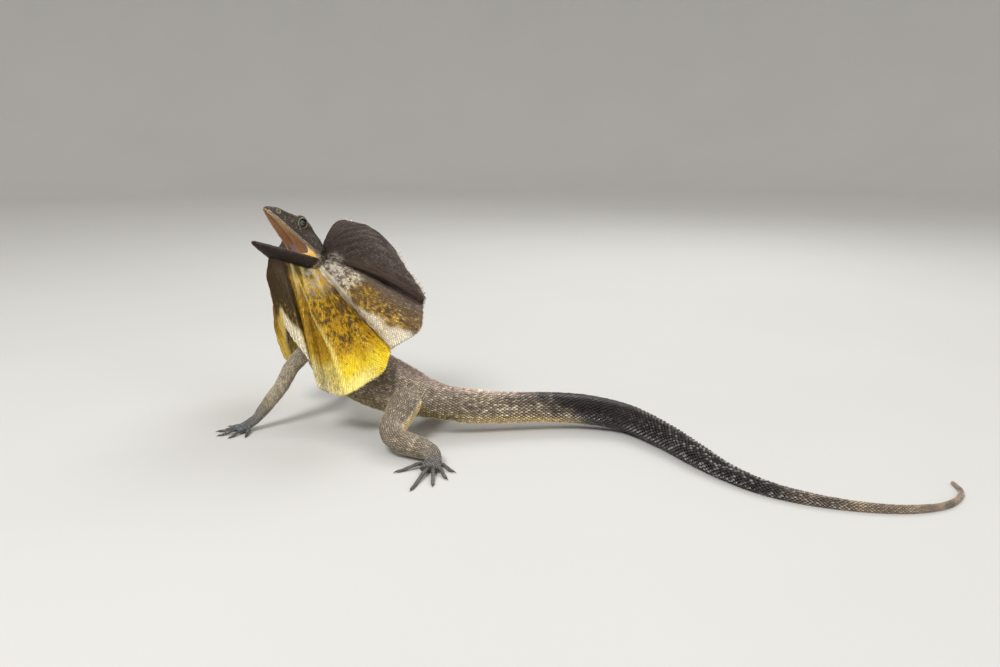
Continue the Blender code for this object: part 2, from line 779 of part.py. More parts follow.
def frill_piece(name, start, end, slot):
    """Closed piece of the frill between two ribs, with a saw-toothed margin."""
    columns = slice(int(start * PER_RIB), int(end * PER_RIB) + 1)
    grid, normal = MIDDLE[columns].copy(), NORMAL[columns]
    for edge, inner in ((0, 1), (-1, -2)):
        shift = grid[inner] - grid[edge]
        grid[edge] += shift / np.linalg.norm(shift, axis=1, keepdims=True) * GAP / 2
    half = np.linspace(SHEET, EDGE, grid.shape[1]) / 2
    half[-1] = 0.35
    front = grid + normal * half[None, :, None]
    back = grid - normal * half[None, :, None]
    columns, rows = grid.shape[:2]
    verts = list(front.reshape(-1, 3)) + list(back.reshape(-1, 3))
    other = columns * rows
    faces = []
    for i in range(columns - 1):
        for j in range(rows - 1):
            a, b = i * rows + j, i * rows + j + 1
            c, d = a + rows, b + rows
            triangles = ((a, c, d), (a, d, b)) if (i + j) % 2 else ((a, c, b), (c, d, b))
            for tri in triangles:
                faces.append(tri)
                faces.append(tuple(v + other for v in tri[::-1]))
    rim = [j for j in range(rows)]
    rim += [i * rows + rows - 1 for i in range(1, columns)]
    rim += [(columns - 1) * rows + j for j in range(rows - 2, -1, -1)]
    rim += [i * rows for i in range(columns - 2, 0, -1)]
    for a, b in zip(rim, rim[1:] + rim[:1]):
        faces.append((a, b, b + other))
        faces.append((a, b + other, a + other))
    return build(name, verts, faces, slot)


FRILL_NODES = (
    ("frill_left_hood", 0, 5.5, "frill_dark"),
    ("frill_left_wing", 5.5, 9.5, "frill_skin"),
    ("frill_left_apron", 9.5, 15.5, "frill_skin"),
    ("frill_throat", 15.5, 20.5, "frill_skin"),
    ("frill_right_apron", 20.5, 26.5, "frill_skin"),
    ("frill_right_wing", 26.5, 29.0, "frill_skin"),
    ("frill_right_hood", 29.0, 36, "frill_dark"),
)
for name, start, end, slot in FRILL_NODES:
    piece = frill_piece(name, start, end, slot)
    cut_away(piece, [head_grown, jaw_grown, neck_grown])
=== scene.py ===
# Frilled lizard, life size: skin, scales, frill, eyes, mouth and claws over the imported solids.
# Lengths are millimetres in the animal's own axes, head toward -X, until to_metres() is used.

import itertools
import math

import bmesh
import bpy
import numpy as np
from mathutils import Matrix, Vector, kdtree
from mathutils.bvhtree import BVHTree


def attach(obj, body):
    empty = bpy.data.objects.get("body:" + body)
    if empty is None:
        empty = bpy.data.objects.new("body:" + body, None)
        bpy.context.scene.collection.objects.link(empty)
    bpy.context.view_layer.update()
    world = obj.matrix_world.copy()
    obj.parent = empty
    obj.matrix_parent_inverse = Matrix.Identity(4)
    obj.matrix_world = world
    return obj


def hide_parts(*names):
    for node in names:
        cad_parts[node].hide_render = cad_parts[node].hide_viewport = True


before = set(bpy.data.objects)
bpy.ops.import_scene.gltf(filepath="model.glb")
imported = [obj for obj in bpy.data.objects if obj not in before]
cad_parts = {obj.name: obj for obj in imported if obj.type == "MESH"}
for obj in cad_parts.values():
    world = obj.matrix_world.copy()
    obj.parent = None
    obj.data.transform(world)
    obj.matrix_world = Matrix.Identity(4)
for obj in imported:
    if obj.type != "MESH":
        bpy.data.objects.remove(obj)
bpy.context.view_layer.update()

MM = 0.001
ORIGIN = np.array((43.5, -1.9, 0.0))     # middle of the footprint, at x = y = 0 in the model
UP_Z = np.array((0.0, 0.0, 1.0))


# Small helpers

def to_metres(points):
    return (np.asarray(points, dtype=float) - ORIGIN) * MM


def vec(*values):
    return np.array(values, dtype=float)


def unit(v):
    v = np.asarray(v, dtype=float)
    return v / np.maximum(np.linalg.norm(v, axis=-1, keepdims=True), 1e-9)


def smooth(x):
    x = np.clip(x, 0.0, 1.0)
    return x * x * (3 - 2 * x)


def window(x, low, high, soft):
    """1 between low and high, falling off over soft at both ends."""
    return smooth((x - low) / soft + 0.5) * smooth((high - x) / soft + 0.5)


def bend(p0, p1, p2, p3, u):
    """Smooth way from p1 to p2, headed as the neighbours p0 and p3 ask, at share u."""
    m1, m2 = (p2 - p0) / 2, (p3 - p1) / 2
    return ((2 * u ** 3 - 3 * u ** 2 + 1) * p1 + (u ** 3 - 2 * u ** 2 + u) * m1
            + (3 * u ** 2 - 2 * u ** 3) * p2 + (u ** 3 - u ** 2) * m2)


def spline(rows, t):
    """Values at each t of a smooth curve through rows, one row at each whole number."""
    rows = np.asarray(rows, dtype=float)
    t = np.atleast_1d(np.asarray(t, dtype=float))
    last = len(rows) - 1
    i = np.clip(np.floor(t).astype(int), 0, last - 1)
    u = (t - i)[:, None]
    p1, p2 = rows[i], rows[i + 1]
    p0 = np.where((i > 0)[:, None], rows[np.maximum(i - 1, 0)], 2 * p1 - p2)
    p3 = np.where((i + 2 <= last)[:, None], rows[np.minimum(i + 2, last)], 2 * p2 - p1)
    return bend(p0, p1, p2, p3, u)


def noise(points, size, seed=0):
    """Smooth random value from -1 to 1 at each point, in lumps of the given size."""
    q = np.asarray(points, dtype=float) / size + 37.7 * seed
    cell = np.floor(q).astype(np.int64)
    part = smooth(q - cell)
    total = np.zeros(len(q))
    for corner in itertools.product((0, 1), repeat=3):
        c = cell + np.array(corner)
        h = c[:, 0] * 73856093 ^ c[:, 1] * 19349663 ^ c[:, 2] * 83492791 ^ (seed + 1) * 40503
        h = (h * 2654435761) & 0xFFFFFFFF
        h = ((h ^ (h >> 15)) * 2246822519) & 0xFFFFFFFF
        value = ((h >> 8) & 0xFFFF) / 65535.0
        weight = np.prod(np.where(np.array(corner), part, 1 - part), axis=1)
        total += weight * value
    return total * 2 - 1


def paint(tint, *layers):
    """Lay colours over a tint in turn, each wherever its mask is not 0."""
    for colour, mask in layers:
        mask = np.clip(mask, 0, 1)[:, None]
        tint = tint * (1 - mask) + np.array(colour) * mask
    return tint


def plain(colour, count):
    """One colour for each of count points."""
    return np.tile(np.array(colour), (count, 1))


def turns(count):
    """Angles evenly round a circle."""
    return np.arange(count) * 2 * math.pi / count


def run_length(points):
    """Length along a line of points, up to each of them."""
    return np.concatenate(([0], np.cumsum(np.linalg.norm(np.diff(points, axis=0), axis=1))))


# Shape of the body: the same named sizes as the solids

class Tube:
    """A body part swept along a curve: rows of x, y, z, half width, half height."""

    def __init__(self, rows, sides, belly=1.0):
        self.rows = np.array([row[:5] for row in rows], dtype=float)
        self.sides = np.array(sides, dtype=float)
        self.belly = belly
        self.last = len(rows) - 1

    def frame(self, t):
        """Centre, direction of travel, side, up, half width and half height at each t."""
        t = np.atleast_1d(np.asarray(t, dtype=float))
        row = spline(self.rows, t)
        a = spline(self.rows, np.clip(t - 0.02, 0, self.last))[:, :3]
        b = spline(self.rows, np.clip(t + 0.02, 0, self.last))[:, :3]
        along = unit(b - a)
        side = spline(self.sides, t)
        side = unit(side - along * np.sum(side * along, axis=1, keepdims=True))
        return row[:, :3], along, side, np.cross(along, side), row[:, 3:4], row[:, 4:5]

    def surface(self, t, angle):
        """Point of the surface, outward normal and direction of travel."""
        centre, along, side, up, wide, high = self.frame(t)
        c, s = np.cos(angle)[:, None], np.sin(angle)[:, None]
        tall = np.where(s > 0, high, high * self.belly)
        return centre + side * c * wide + up * s * tall, unit(side * c / wide + up * s / tall), along

    def rings(self, span, steps, count):
        return [self.surface(np.full(count, t), turns(count))[0] for t in np.linspace(*span, steps + 1)]


def left_side(angle):
    """Level unit vector to the left of a heading, in degrees from -X toward -Y."""
    a = math.radians(angle)
    return vec(math.sin(a), -math.cos(a), 0)


def level_sides(rows):
    """Left side of each row of a path, level and square to the way it runs."""
    sides = []
    for i in range(len(rows)):
        a = np.array(rows[max(i - 1, 0)][:3], dtype=float)
        b = np.array(rows[min(i + 1, len(rows) - 1)][:3], dtype=float)
        sides.append(unit(np.cross(UP_Z, b - a)))
    return sides


# x, y, z, half width, half height, from the tail tip to the back of the head
SPINE = (
    (325, -113, 0.9, 1.1, 1.1),
    (323, -130, 1.15, 1.4, 1.4),
    (313, -145, 1.4, 1.7, 1.7),
    (297, -157, 1.75, 2.1, 2.1),
    (272, -163, 2.1, 2.5, 2.4),
    (242, -160, 2.5, 2.9, 2.8),
    (211, -149, 3.2, 3.7, 3.6),
    (185, -131, 4.1, 4.5, 4.4),
    (165, -105, 5.3, 5.6, 5.5),
    (150, -76, 7.1, 7.5, 7.4),
    (133, -39, 8.8, 8.9, 8.8),
    (107, -2, 12.3, 10.0, 9.9),
    (74, 11, 15.8, 11.3, 11.1),
    (43, 12, 17.6, 11.7, 11.4),
    (8, 8, 18.7, 12.4, 11.8),
    (-22, 4, 21.0, 14.2, 13.4),
    (-44, 1, 24.6, 15.8, 14.2),
    (-63, 4, 28.6, 19.0, 16.6),
    (-84, 13, 32.8, 23.0, 21.4),
    (-108, 27, 38.5, 25.0, 24.5),
    (-131, 40, 47.5, 24.5, 24.0),
    (-147, 49, 61.0, 21.5, 22.0),
    (-157, 56, 77.5, 18.0, 19.0),
    (-162, 64, 94.0, 16.0, 16.5),
    (-164, 70, 107.5, 15.5, 15.5),
    (-165, 73, 120.5, 15.5, 14.0),
    (-168.5, 71.0, 132.5, 16.0, 12.0),
    (-173.5, 66, 141.0, 15.0, 10.0),
)
NECK_FACING = (-20, 0, 20, 36, 42, 42)       # heading of the neck's last rows, degrees
TAIL_START, NECK_END = 15.5, 26.6     # rows where the tail begins and the neck ends

spine_sides = level_sides(SPINE)[:-len(NECK_FACING)]
spine_sides += [left_side(angle) for angle in NECK_FACING]
spine = Tube(SPINE, spine_sides, belly=0.96)

HEAD_FACING, HEAD_PITCH, HEAD_ROLL = 42.0, 48.8, 6.9
HEAD_CENTRE = vec(-172.7, 67.8, 142.1)     # between the corners of the mouth


def head_axes():
    a, p, r = (math.radians(v) for v in (HEAD_FACING, HEAD_PITCH, HEAD_ROLL))
    ahead = vec(-math.cos(a) * math.cos(p), -math.sin(a) * math.cos(p), math.sin(p))
    level = left_side(HEAD_FACING)
    upward = np.cross(ahead, level)
    left = level * math.cos(r) + upward * math.sin(r)
    up = upward * math.cos(r) - level * math.sin(r)
    return ahead, left, up


AHEAD, LEFT, UP = head_axes()
HEAD_AXES = np.array((AHEAD, LEFT, UP))
GAPE = 28.0                      # how far the lower jaw is open, degrees
HINGE = (-6.0, -2.0)             # forward and up of the jaw's hinge


def at_head(h, l, u):
    """Point given forward, left and up from between the corners of the mouth."""
    h, l, u = (np.asarray(x, dtype=float)[..., None] for x in (h, l, u))
    return HEAD_CENTRE + AHEAD * h + LEFT * l + UP * u


def on_side(place, sign):
    """A place of the head's left side, or with sign -1 its twin on the right."""
    return at_head(place[0], place[1] * sign, place[2])


def at_jaw(h, l, u):
    """A point of the lower jaw, given as if the mouth were shut."""
    g = math.radians(GAPE)
    dh, du = np.asarray(h, dtype=float) - HINGE[0], np.asarray(u, dtype=float) - HINGE[1]
    return at_head(HINGE[0] + dh * math.cos(g) + du * math.sin(g), l,
                   HINGE[1] - dh * math.sin(g) + du * math.cos(g))


def in_head(points):
    """Forward, left and up of points, seen from the head."""
    return (points - HEAD_CENTRE) @ HEAD_AXES.T


# forward, lip half width, cheek out, cheek up, brow out, brow up, top, palate height
HEAD_ROWS = (
    (-12.0, 16.0, 18.0, 4.0, 10.0, 10.5, 12.0, -5.0),
    (-6.0, 19.5, 20.8, 4.5, 11.0, 13.0, 14.0, -4.5),
    (0.0, 19.2, 18.8, 6.0, 11.0, 14.6, 15.3, -1.5),
    (8.0, 17.6, 16.4, 6.5, 11.2, 15.4, 16.0, 2.0),
    (16.0, 15.6, 14.4, 7.0, 11.6, 16.4, 16.4, 3.6),
    (24.0, 13.2, 12.2, 7.0, 11.0, 16.6, 16.8, 3.8),
    (32.0, 10.8, 9.8, 6.0, 8.2, 13.6, 14.2, 3.4),
    (40.0, 8.4, 7.4, 5.0, 5.8, 10.6, 11.4, 2.6),
    (47.0, 5.8, 5.2, 3.6, 4.0, 7.6, 8.4, 1.8),
    (52.0, 3.4, 3.0, 2.2, 2.2, 4.4, 5.0, 0.8),
    (54.4, 1.5, 1.4, 1.0, 0.9, 1.9, 2.3, 0.1),
)
# forward, lip half width, depth below the lip line, floor of the mouth
JAW_ROWS = (
    (-11.0, 16.5, 12.5, -1.6),
    (-4.0, 19.0, 14.0, -2.2),
    (4.0, 18.4, 14.5, -4.4),
    (14.0, 16.0, 13.5, -5.4),
    (24.0, 13.0, 11.6, -4.8),
    (34.0, 9.6, 8.8, -3.8),
    (43.0, 6.0, 6.0, -2.8),
    (48.0, 3.4, 4.4, -2.2),
    (50.4, 1.6, 3.2, -1.7),
)
LIP = 1.9                        # thickness of the lips
SNOUT_TIP = (55.2, 1.1)
CHIN_TIP = (51.2, -1.9)
EYE_AT = (25.0, 9.9, 11.6)       # forward, left and up of the eye, the ear and the nostril
EAR_AT = (-5.5, 20.9, 4.5)
NOSTRIL_AT = (45.0, 5.3, 5.8)
EYE_RADIUS = 4.3
LID_RADIUS = 5.7
LID_OPENING = 3.5


def head_outline(t):
    """Corner points of the head's section, from the crown over the lip to the palate."""
    h, lip, cheek, cheek_up, brow, brow_up, top, palate = spline(HEAD_ROWS, t)[0]
    inner = max(lip - LIP, lip * 0.4)
    return h, [
        (0.0, top),
        (brow * 0.55, top * 0.7 + brow_up * 0.3),
        (brow, brow_up),
        (brow * 0.45 + cheek * 0.55, brow_up * 0.5 + cheek_up * 0.5),
        (cheek, cheek_up),
        (lip, 1.0),
        (lip - 0.5, -0.9),
        (inner, min(-0.4, palate * 0.5)),
        (inner * 0.6, palate * 0.7 if palate > 0 else palate * 0.85),
        (0.0, palate),
    ]


def jaw_outline(t):
    """Corner points of the jaw's section, from the floor of the mouth round to the chin."""
    h, lip, depth, floor = spline(JAW_ROWS, t)[0]
    inner = max(lip - LIP, lip * 0.4)
    return h, [
        (0.0, floor),
        (inner * 0.55, floor * 0.92),
        (inner, floor * 0.4),
        (lip - 0.25 * (lip - inner), -0.8),
        (lip, -0.8 - depth * 0.14),
        (lip * 0.95, -depth * 0.55),
        (lip * 0.62, -depth * 0.9),
        (0.0, -depth),
    ]


def section(outline, t, places):
    """Points of a section at places along it; whole numbers are its corner points."""
    h, half = outline(t)
    corners = np.array(half + [(-out, up) for out, up in half[-2:0:-1]])
    n = len(corners)
    rows = corners[np.arange(-n - 2, 2 * n + 3) % n]
    return h, spline(rows, np.asarray(places) + n + 2)


# how a place is read, the section, its corner points and the last row of its table
HEAD_FORM = (at_head, head_outline, 18, len(HEAD_ROWS) - 1)
JAW_FORM = (at_jaw, jaw_outline, 14, len(JAW_ROWS) - 1)


def lip_out(rows, h):
    """Half width of the lips at places h along the head or the jaw."""
    table = np.array(rows)
    return np.interp(h, table[:, 0], table[:, 1])


# x, y, z, half width, half height, tilt of the wide side
LIMBS = {
    "left_hand": (
        (-152, 46, 66, 9.0, 9.0, 0),
        (-165, 38, 62, 8.2, 7.6, 0),
        (-178, 29, 50, 6.9, 6.4, 0),
        (-187, 19, 34, 6.3, 5.8, 0),
        (-197, 12, 21, 5.9, 5.2, 0),
        (-206, 6, 10, 4.6, 3.8, 0),
        (-213, 2, 5.2, 5.6, 3.4, 0),
        (-220, -2, 2.4, 7.0, 2.9, 0),
    ),
    "right_hand": (
        (-149, 60, 66, 9.0, 9.0, 0),
        (-148, 72, 62, 8.2, 7.6, 0),
        (-144, 83, 49, 6.9, 6.4, 0),
        (-141, 93, 33, 6.3, 5.8, 0),
        (-141, 104, 20, 5.9, 5.2, 0),
        (-141, 115, 10, 4.6, 3.8, 0),
        (-142, 122, 5.2, 5.6, 3.4, 0),
        (-143, 129, 2.4, 7.0, 2.9, 0),
    ),
    "left_foot": (
        (-70, 2, 29, 13.5, 11.5, 30),
        (-77, -10, 29, 14.0, 12.0, 30),
        (-81, -27, 24.5, 12.8, 10.8, 25),
        (-86, -43, 16.0, 9.6, 9.4, 15),
        (-79, -55, 12.2, 8.8, 8.6, 10),
        (-64, -63, 9.8, 8.4, 8.0, 0),
        (-53, -70, 7.8, 6.6, 6.2, 0),
        (-50, -80, 5.2, 6.0, 4.6, 0),
        (-52, -93, 2.8, 7.6, 3.3, 0),
    ),
    "right_foot": (
        (-62, 8, 27, 13.5, 11.5, -30),
        (-59, 18, 26, 14.0, 12.0, -30),
        (-54, 34, 21, 12.4, 10.6, -25),
        (-47, 50, 15.6, 9.4, 9.2, -15),
        (-36, 59, 12.6, 8.6, 8.2, -10),
        (-19, 57, 9.8, 8.2, 7.8, 0),
        (-4, 54, 7.8, 6.2, 5.8, 0),
        (2, 62, 5.2, 6.0, 4.6, 0),
        (3, 75, 2.8, 7.6, 3.3, 0),
    ),
}
# turn from the way the hand points, start back along it and across it, length
HAND_DIGITS = (
    (62, 6.0, 5.5, 9.0),
    (30, 2.0, 4.0, 13.0),
    (4, 0.0, 1.0, 15.5),
    (-20, 0.5, -2.5, 15.0),
    (-52, 4.0, -5.5, 11.0),
)
FOOT_DIGITS = (
    (58, 9.0, 5.0, 11.0),
    (32, 4.0, 4.5, 17.0),
    (12, 1.0, 2.0, 26.0),
    (-6, 0.0, -1.5, 36.0),
    (-50, 10.0, -6.0, 22.0),
)
HAND_THICK, FOOT_THICK = 1.45, 1.6
# share of a toe's length, height above the floor and radius, for each unit of thickness
TOE_SHAPE = (
    (0.0, 1.5, 1.0),
    (0.25, 2.1, 0.95),
    (0.5, 1.5, 0.85),
    (0.72, 0.7, 0.8),
    (0.86, 0.64, 0.75),
    (0.92, 0.8, 0.5),
)


def limb(rows):
    """Tube of a limb, its wide side level but for the tilt of each row."""
    sides = []
    for side, row in zip(level_sides(rows), rows):
        t = math.radians(row[5])
        sides.append(side * math.cos(t) + UP_Z * math.sin(t))
    return Tube(rows, sides)


def digit(tube, row, sign, thick):
    """A toe without its claw, and where and which way the claw starts."""
    turn, back, aside, length = row
    centre, along = (x[0] for x in tube.frame(tube.last)[:2])
    along = unit(vec(along[0], along[1], 0))
    side = vec(along[1], -along[0], 0) * sign
    a = math.radians(turn)
    way = along * math.cos(a) + side * math.sin(a)
    start = centre - along * (back + 2.0) + side * aside
    path = []
    for reach, height, radius in TOE_SHAPE:
        spot = start + way * reach * (length + 4.0)
        path.append((spot[0], spot[1], height * thick, radius * thick, radius * thick))
    claw_root = start + way * 0.88 * (length + 4.0)
    return Tube(path, level_sides(path)), claw_root, way


limb_tubes = {name: limb(rows) for name, rows in LIMBS.items()}
toes = {}
for name, tube in limb_tubes.items():
    rows, thick = (HAND_DIGITS, HAND_THICK) if "hand" in name else (FOOT_DIGITS, FOOT_THICK)
    sign = -1 if "left" in name else 1
    toes[name] = [digit(tube, row, sign, thick) for row in rows]


# Frill: a pleated sheet on ribs that fan from the nape, round the jaw, to the chin

ROOT_LINE = np.array((
    at_head(-10, 5, 11),
    at_head(-11, 12, 8),
    at_head(-11.5, 16, 3),
    at_jaw(-10, 14.5, -7),
    at_jaw(-3, 15.5, -11),
    at_jaw(9, 12.5, -12),
    at_jaw(20, 8.5, -10.8),
    at_jaw(27, 5, -9.8),
    at_jaw(30.5, 0, -9.4),
))
# place on the root line, turn from +X toward +Y, rise, length, bow outward, bow upward
RIBS = np.array((
    (0.0, 10, 50, 35, 0, 9),         # nape edge
    (0.25, -2, 25, 46, 2, 15),       # back of the hood
    (0.6, -18, 5, 68, 7, 23),        # crest of the hood
    (1.0, -28, -6, 89, 15, 22),      # face of the hood
    (1.4, -28, -15, 109, 20, 13),    # foot of the hood
    (1.8, -20, -20, 103, 0, 4),      # crease under the hood
    (2.1, -28, -22, 112, 9, 6),      # dark ridge
    (2.5, -36, -23, 123, 9, 4),      # speckled panel
    (2.9, -46, -27, 122, 8, 3),      # fold edge
    (3.2, -41, -34, 113, -3, 0),     # behind the fold
    (3.6, -49, -35, 128, 5, 1),      # top of the golden panel
    (3.9, -52, -44, 124, -2, 0),     # golden valley
    (4.4, -59, -50, 126, 7, 2),      # lowest tip
    (4.9, -59, -58, 118, 0, 0),      # pale valley
    (5.4, -63, -55, 116, 5, 0),      # pale ridge
    (5.9, -54, -62, 108, -1, 0),     # behind the pale ridge
    (6.5, -54, -60, 91, 4, 0),       # throat ridge
    (7.3, -50, -66.5, 77, 1, 0),     # throat panel
    (8.0, -44, -72, 66, -1, 0),      # throat line
))
THROAT_RIB = len(RIBS) - 1
LAST_RIB = 2 * THROAT_RIB
OUTWARD = unit(vec(0.25, -0.97, 0.0))     # way in which the near half bulges
FAR_MIRROR = 27.5                # heading of the plane that the far half is mirrored in, degrees
FAR_DROP = 10.0                  # how much lower the far half's margin hangs, mm
FAR_NAPE = 9.0                   # how much lower its hood stands, mm
SHEET, EDGE = 1.2, 0.8           # thickness at the root and at the margin
TOOTH = 3.4                      # how far the spines of the margin stand out

rib_roots = spline(ROOT_LINE, RIBS[:, 0])
turn, rise = np.radians(RIBS[:, 1]), np.radians(RIBS[:, 2])
rib_ways = np.stack((np.cos(turn) * np.cos(rise), np.sin(turn) * np.cos(rise),
                     np.sin(rise)), axis=1)


def own_rib(s):
    """Rib count from the nape to the throat, for the half of the frill that s is in."""
    return np.where(s > THROAT_RIB, LAST_RIB - s, s)


def near_point(k, v, fullness):
    """Points at share v of the length of the left side's ribs k."""
    v = v[:, None]
    bow = OUTWARD * (RIBS[k, 4] * fullness)[:, None] + UP_Z * RIBS[k, 5][:, None]
    return rib_roots[k] + rib_ways[k] * RIBS[k, 3][:, None] * v + bow * 4 * v * (1 - v)


def mirror(p, through, across):
    return p - 2 * across * np.sum((p - through) * across, axis=1, keepdims=True)


def rib_point(k, v):
    """Points on ribs k, counted from the left nape past the throat to the right nape."""
    k = np.clip(k, 0, LAST_RIB)
    far = k > THROAT_RIB
    own = own_rib(k)
    share = np.where(far, smooth(own / 13) * smooth(v * 2.5), 0.0)
    p = near_point(own, v, 1.0 - 0.7 * share)
    leaning = unit(LEFT * (1 - v)[:, None] + left_side(FAR_MIRROR) * v[:, None])
    throat = near_point(np.full(len(k), THROAT_RIB), v, np.ones(len(k)))
    by_head = mirror(p, HEAD_CENTRE, LEFT)
    by_throat = mirror(p, throat, leaning)
    nape = FAR_NAPE * smooth(1 - own / 2.5) * smooth(v * 3)
    drop = UP_Z * (-FAR_DROP * v * (1 - share) - nape)[:, None]
    share = share[:, None]
    return np.where(far[:, None], by_head * (1 - share) + by_throat * share + drop, p)


def sheet_point(s, v):
    """Middle of the sheet at rib count s and share v of the way out."""
    s, v = np.broadcast_arrays(np.asarray(s, dtype=float), np.asarray(v, dtype=float))
    i = np.clip(np.floor(s).astype(int), 0, LAST_RIB - 1)
    u = (s - i)[:, None]
    return bend(*(rib_point(i + k, v) for k in (-1, 0, 1, 2)), u)


def margin(s):
    """Share v at which the sheet ends and its spines begin, a little uneven."""
    reach = np.linalg.norm(sheet_point(s, np.ones(len(s))) - sheet_point(s, np.zeros(len(s))), axis=1)
    return 1.0 - TOOTH / reach * (1.0 + 0.1 * noise(np.stack((s, s, s), axis=1), 0.35, 3))


def sheet_normal(s, v):
    """Normal of the sheet on the side that shows when the frill is spread."""
    ds = sheet_point(np.minimum(s + 0.03, LAST_RIB), v) - sheet_point(np.maximum(s - 0.03, 0), v)
    dv = sheet_point(s, np.minimum(v + 0.02, 1)) - sheet_point(s, np.maximum(v - 0.02, 0))
    return unit(np.cross(ds, dv))


# 1 or -1, so that sheet_normal points away from the body on the near half
SHOWN = float(np.sign(sheet_normal(vec(10.0), vec(0.6)) @ OUTWARD))


RIDGE_V = (0.1, 0.35, 0.5, 0.65, 1.0)        # the raised ridge in front of the golden panel, its crest painted pale as a highlight
RIDGE_S = (13.9, 13.0, 12.3, 12.0, 11.85)


def by_reach(v, shares, values):
    """A value that changes with the share v of the way out."""
    return np.interp(v, shares, values)


def sheet_surface(s, v, side):
    """Skin of the frill: side 1 is the display side, -1 the side toward the body."""
    p = sheet_point(s, v)
    n = sheet_normal(s, v) * SHOWN
    fine = 0.35 * np.sin(2 * math.pi * 2.5 * s + 3 * noise(p, 14, 4)) * smooth(v * 3)
    own = own_rib(s)
    for ridge_rib, height in ((by_reach(v, RIDGE_V, RIDGE_S), 1.1), (14.9 + 0.4 * v, 0.8),
                              (9.9 + 0 * v, 0.6)):
        fine = fine + height * np.exp(-((own - ridge_rib) / 0.13) ** 2) * smooth(v * 9) * smooth((1 - v) * 12)
    grain = 0.3 * noise(p, 5, 5)
    half = (SHEET * (1 - v) + EDGE * v) / 2
    return p + n * (fine + grain + side * half)[:, None], n * side


# Markings, with some painted highlights and shade, shared by the skin and the scales

DARK_HOOD = (0.042, 0.028, 0.024)
FOLD_BROWN = (0.190, 0.140, 0.115)
GREY_BROWN = (0.125, 0.086, 0.060)
SPECKLE = (0.55, 0.50, 0.41)
OCHRE = (0.36, 0.20, 0.018)
GOLD = (0.62, 0.36, 0.010)
LEMON = (0.86, 0.66, 0.025)
PALE_LEMON = (0.88, 0.76, 0.26)
WING_BROWN = (0.150, 0.085, 0.022)
OCHRE_GOLD = (0.44, 0.26, 0.024)
BLOTCH = (0.070, 0.034, 0.008)
CREAM = (0.72, 0.65, 0.50)
PALE_PANEL = (0.62, 0.54, 0.26)
OLIVE_DOT = (0.17, 0.14, 0.045)
OLIVE_DARK = (0.026, 0.015, 0.004)
OCHRE_YELLOW = (0.60, 0.40, 0.04)
TRUNK = (0.175, 0.138, 0.102)
PALE_GREY = (0.38, 0.32, 0.235)
BACK_LINE = (0.300, 0.220, 0.185)
FLANK_OLIVE = (0.200, 0.150, 0.055)
BELLY = (0.42, 0.37, 0.26)
TAIL_BLACK = (0.017, 0.014, 0.013)
GLINT_GREY = (0.26, 0.245, 0.235)
TAIL_TAN = (0.36, 0.27, 0.13)
TAIL_END = (0.20, 0.150, 0.105)
HEAD_BROWN = (0.052, 0.036, 0.027)
HEAD_TOP = (0.060, 0.050, 0.026)
JAW_DARK = (0.019, 0.011, 0.007)
LIP_PALE = (0.48, 0.42, 0.25)
LID_PALE = (0.25, 0.23, 0.14)
PALATE = (0.66, 0.44, 0.20)
PALATE_DEEP = (0.52, 0.30, 0.14)
PALATE_SHADE = (0.14, 0.045, 0.02)
LILAC = (0.66, 0.58, 0.68)
MOUTH_FLOOR = (0.62, 0.36, 0.26)
ARM_PALE = (0.33, 0.28, 0.19)
FOREARM_GREY = (0.085, 0.082, 0.078)
HAND_BLUE = (0.080, 0.085, 0.090)
LEG = (0.185, 0.150, 0.110)
THIGH_CREAM = (0.56, 0.47, 0.30)
THIGH_YELLOW = (0.52, 0.36, 0.09)
LIP_PLATE = (0.25, 0.21, 0.15)
CHIN_PLATE = (0.060, 0.048, 0.045)
TONGUE_PINK = (0.60, 0.26, 0.22)
TONGUE_PALE = (0.72, 0.42, 0.36)
TOOTH_IVORY = (0.74, 0.66, 0.50)
WEB_YELLOW = (0.86, 0.52, 0.10)
WEB_PALE = (0.90, 0.66, 0.26)
WEB_LILAC = (0.62, 0.52, 0.60)
CLAW_DARK = (0.070, 0.058, 0.048)
CLAW_TIP = (0.30, 0.25, 0.19)


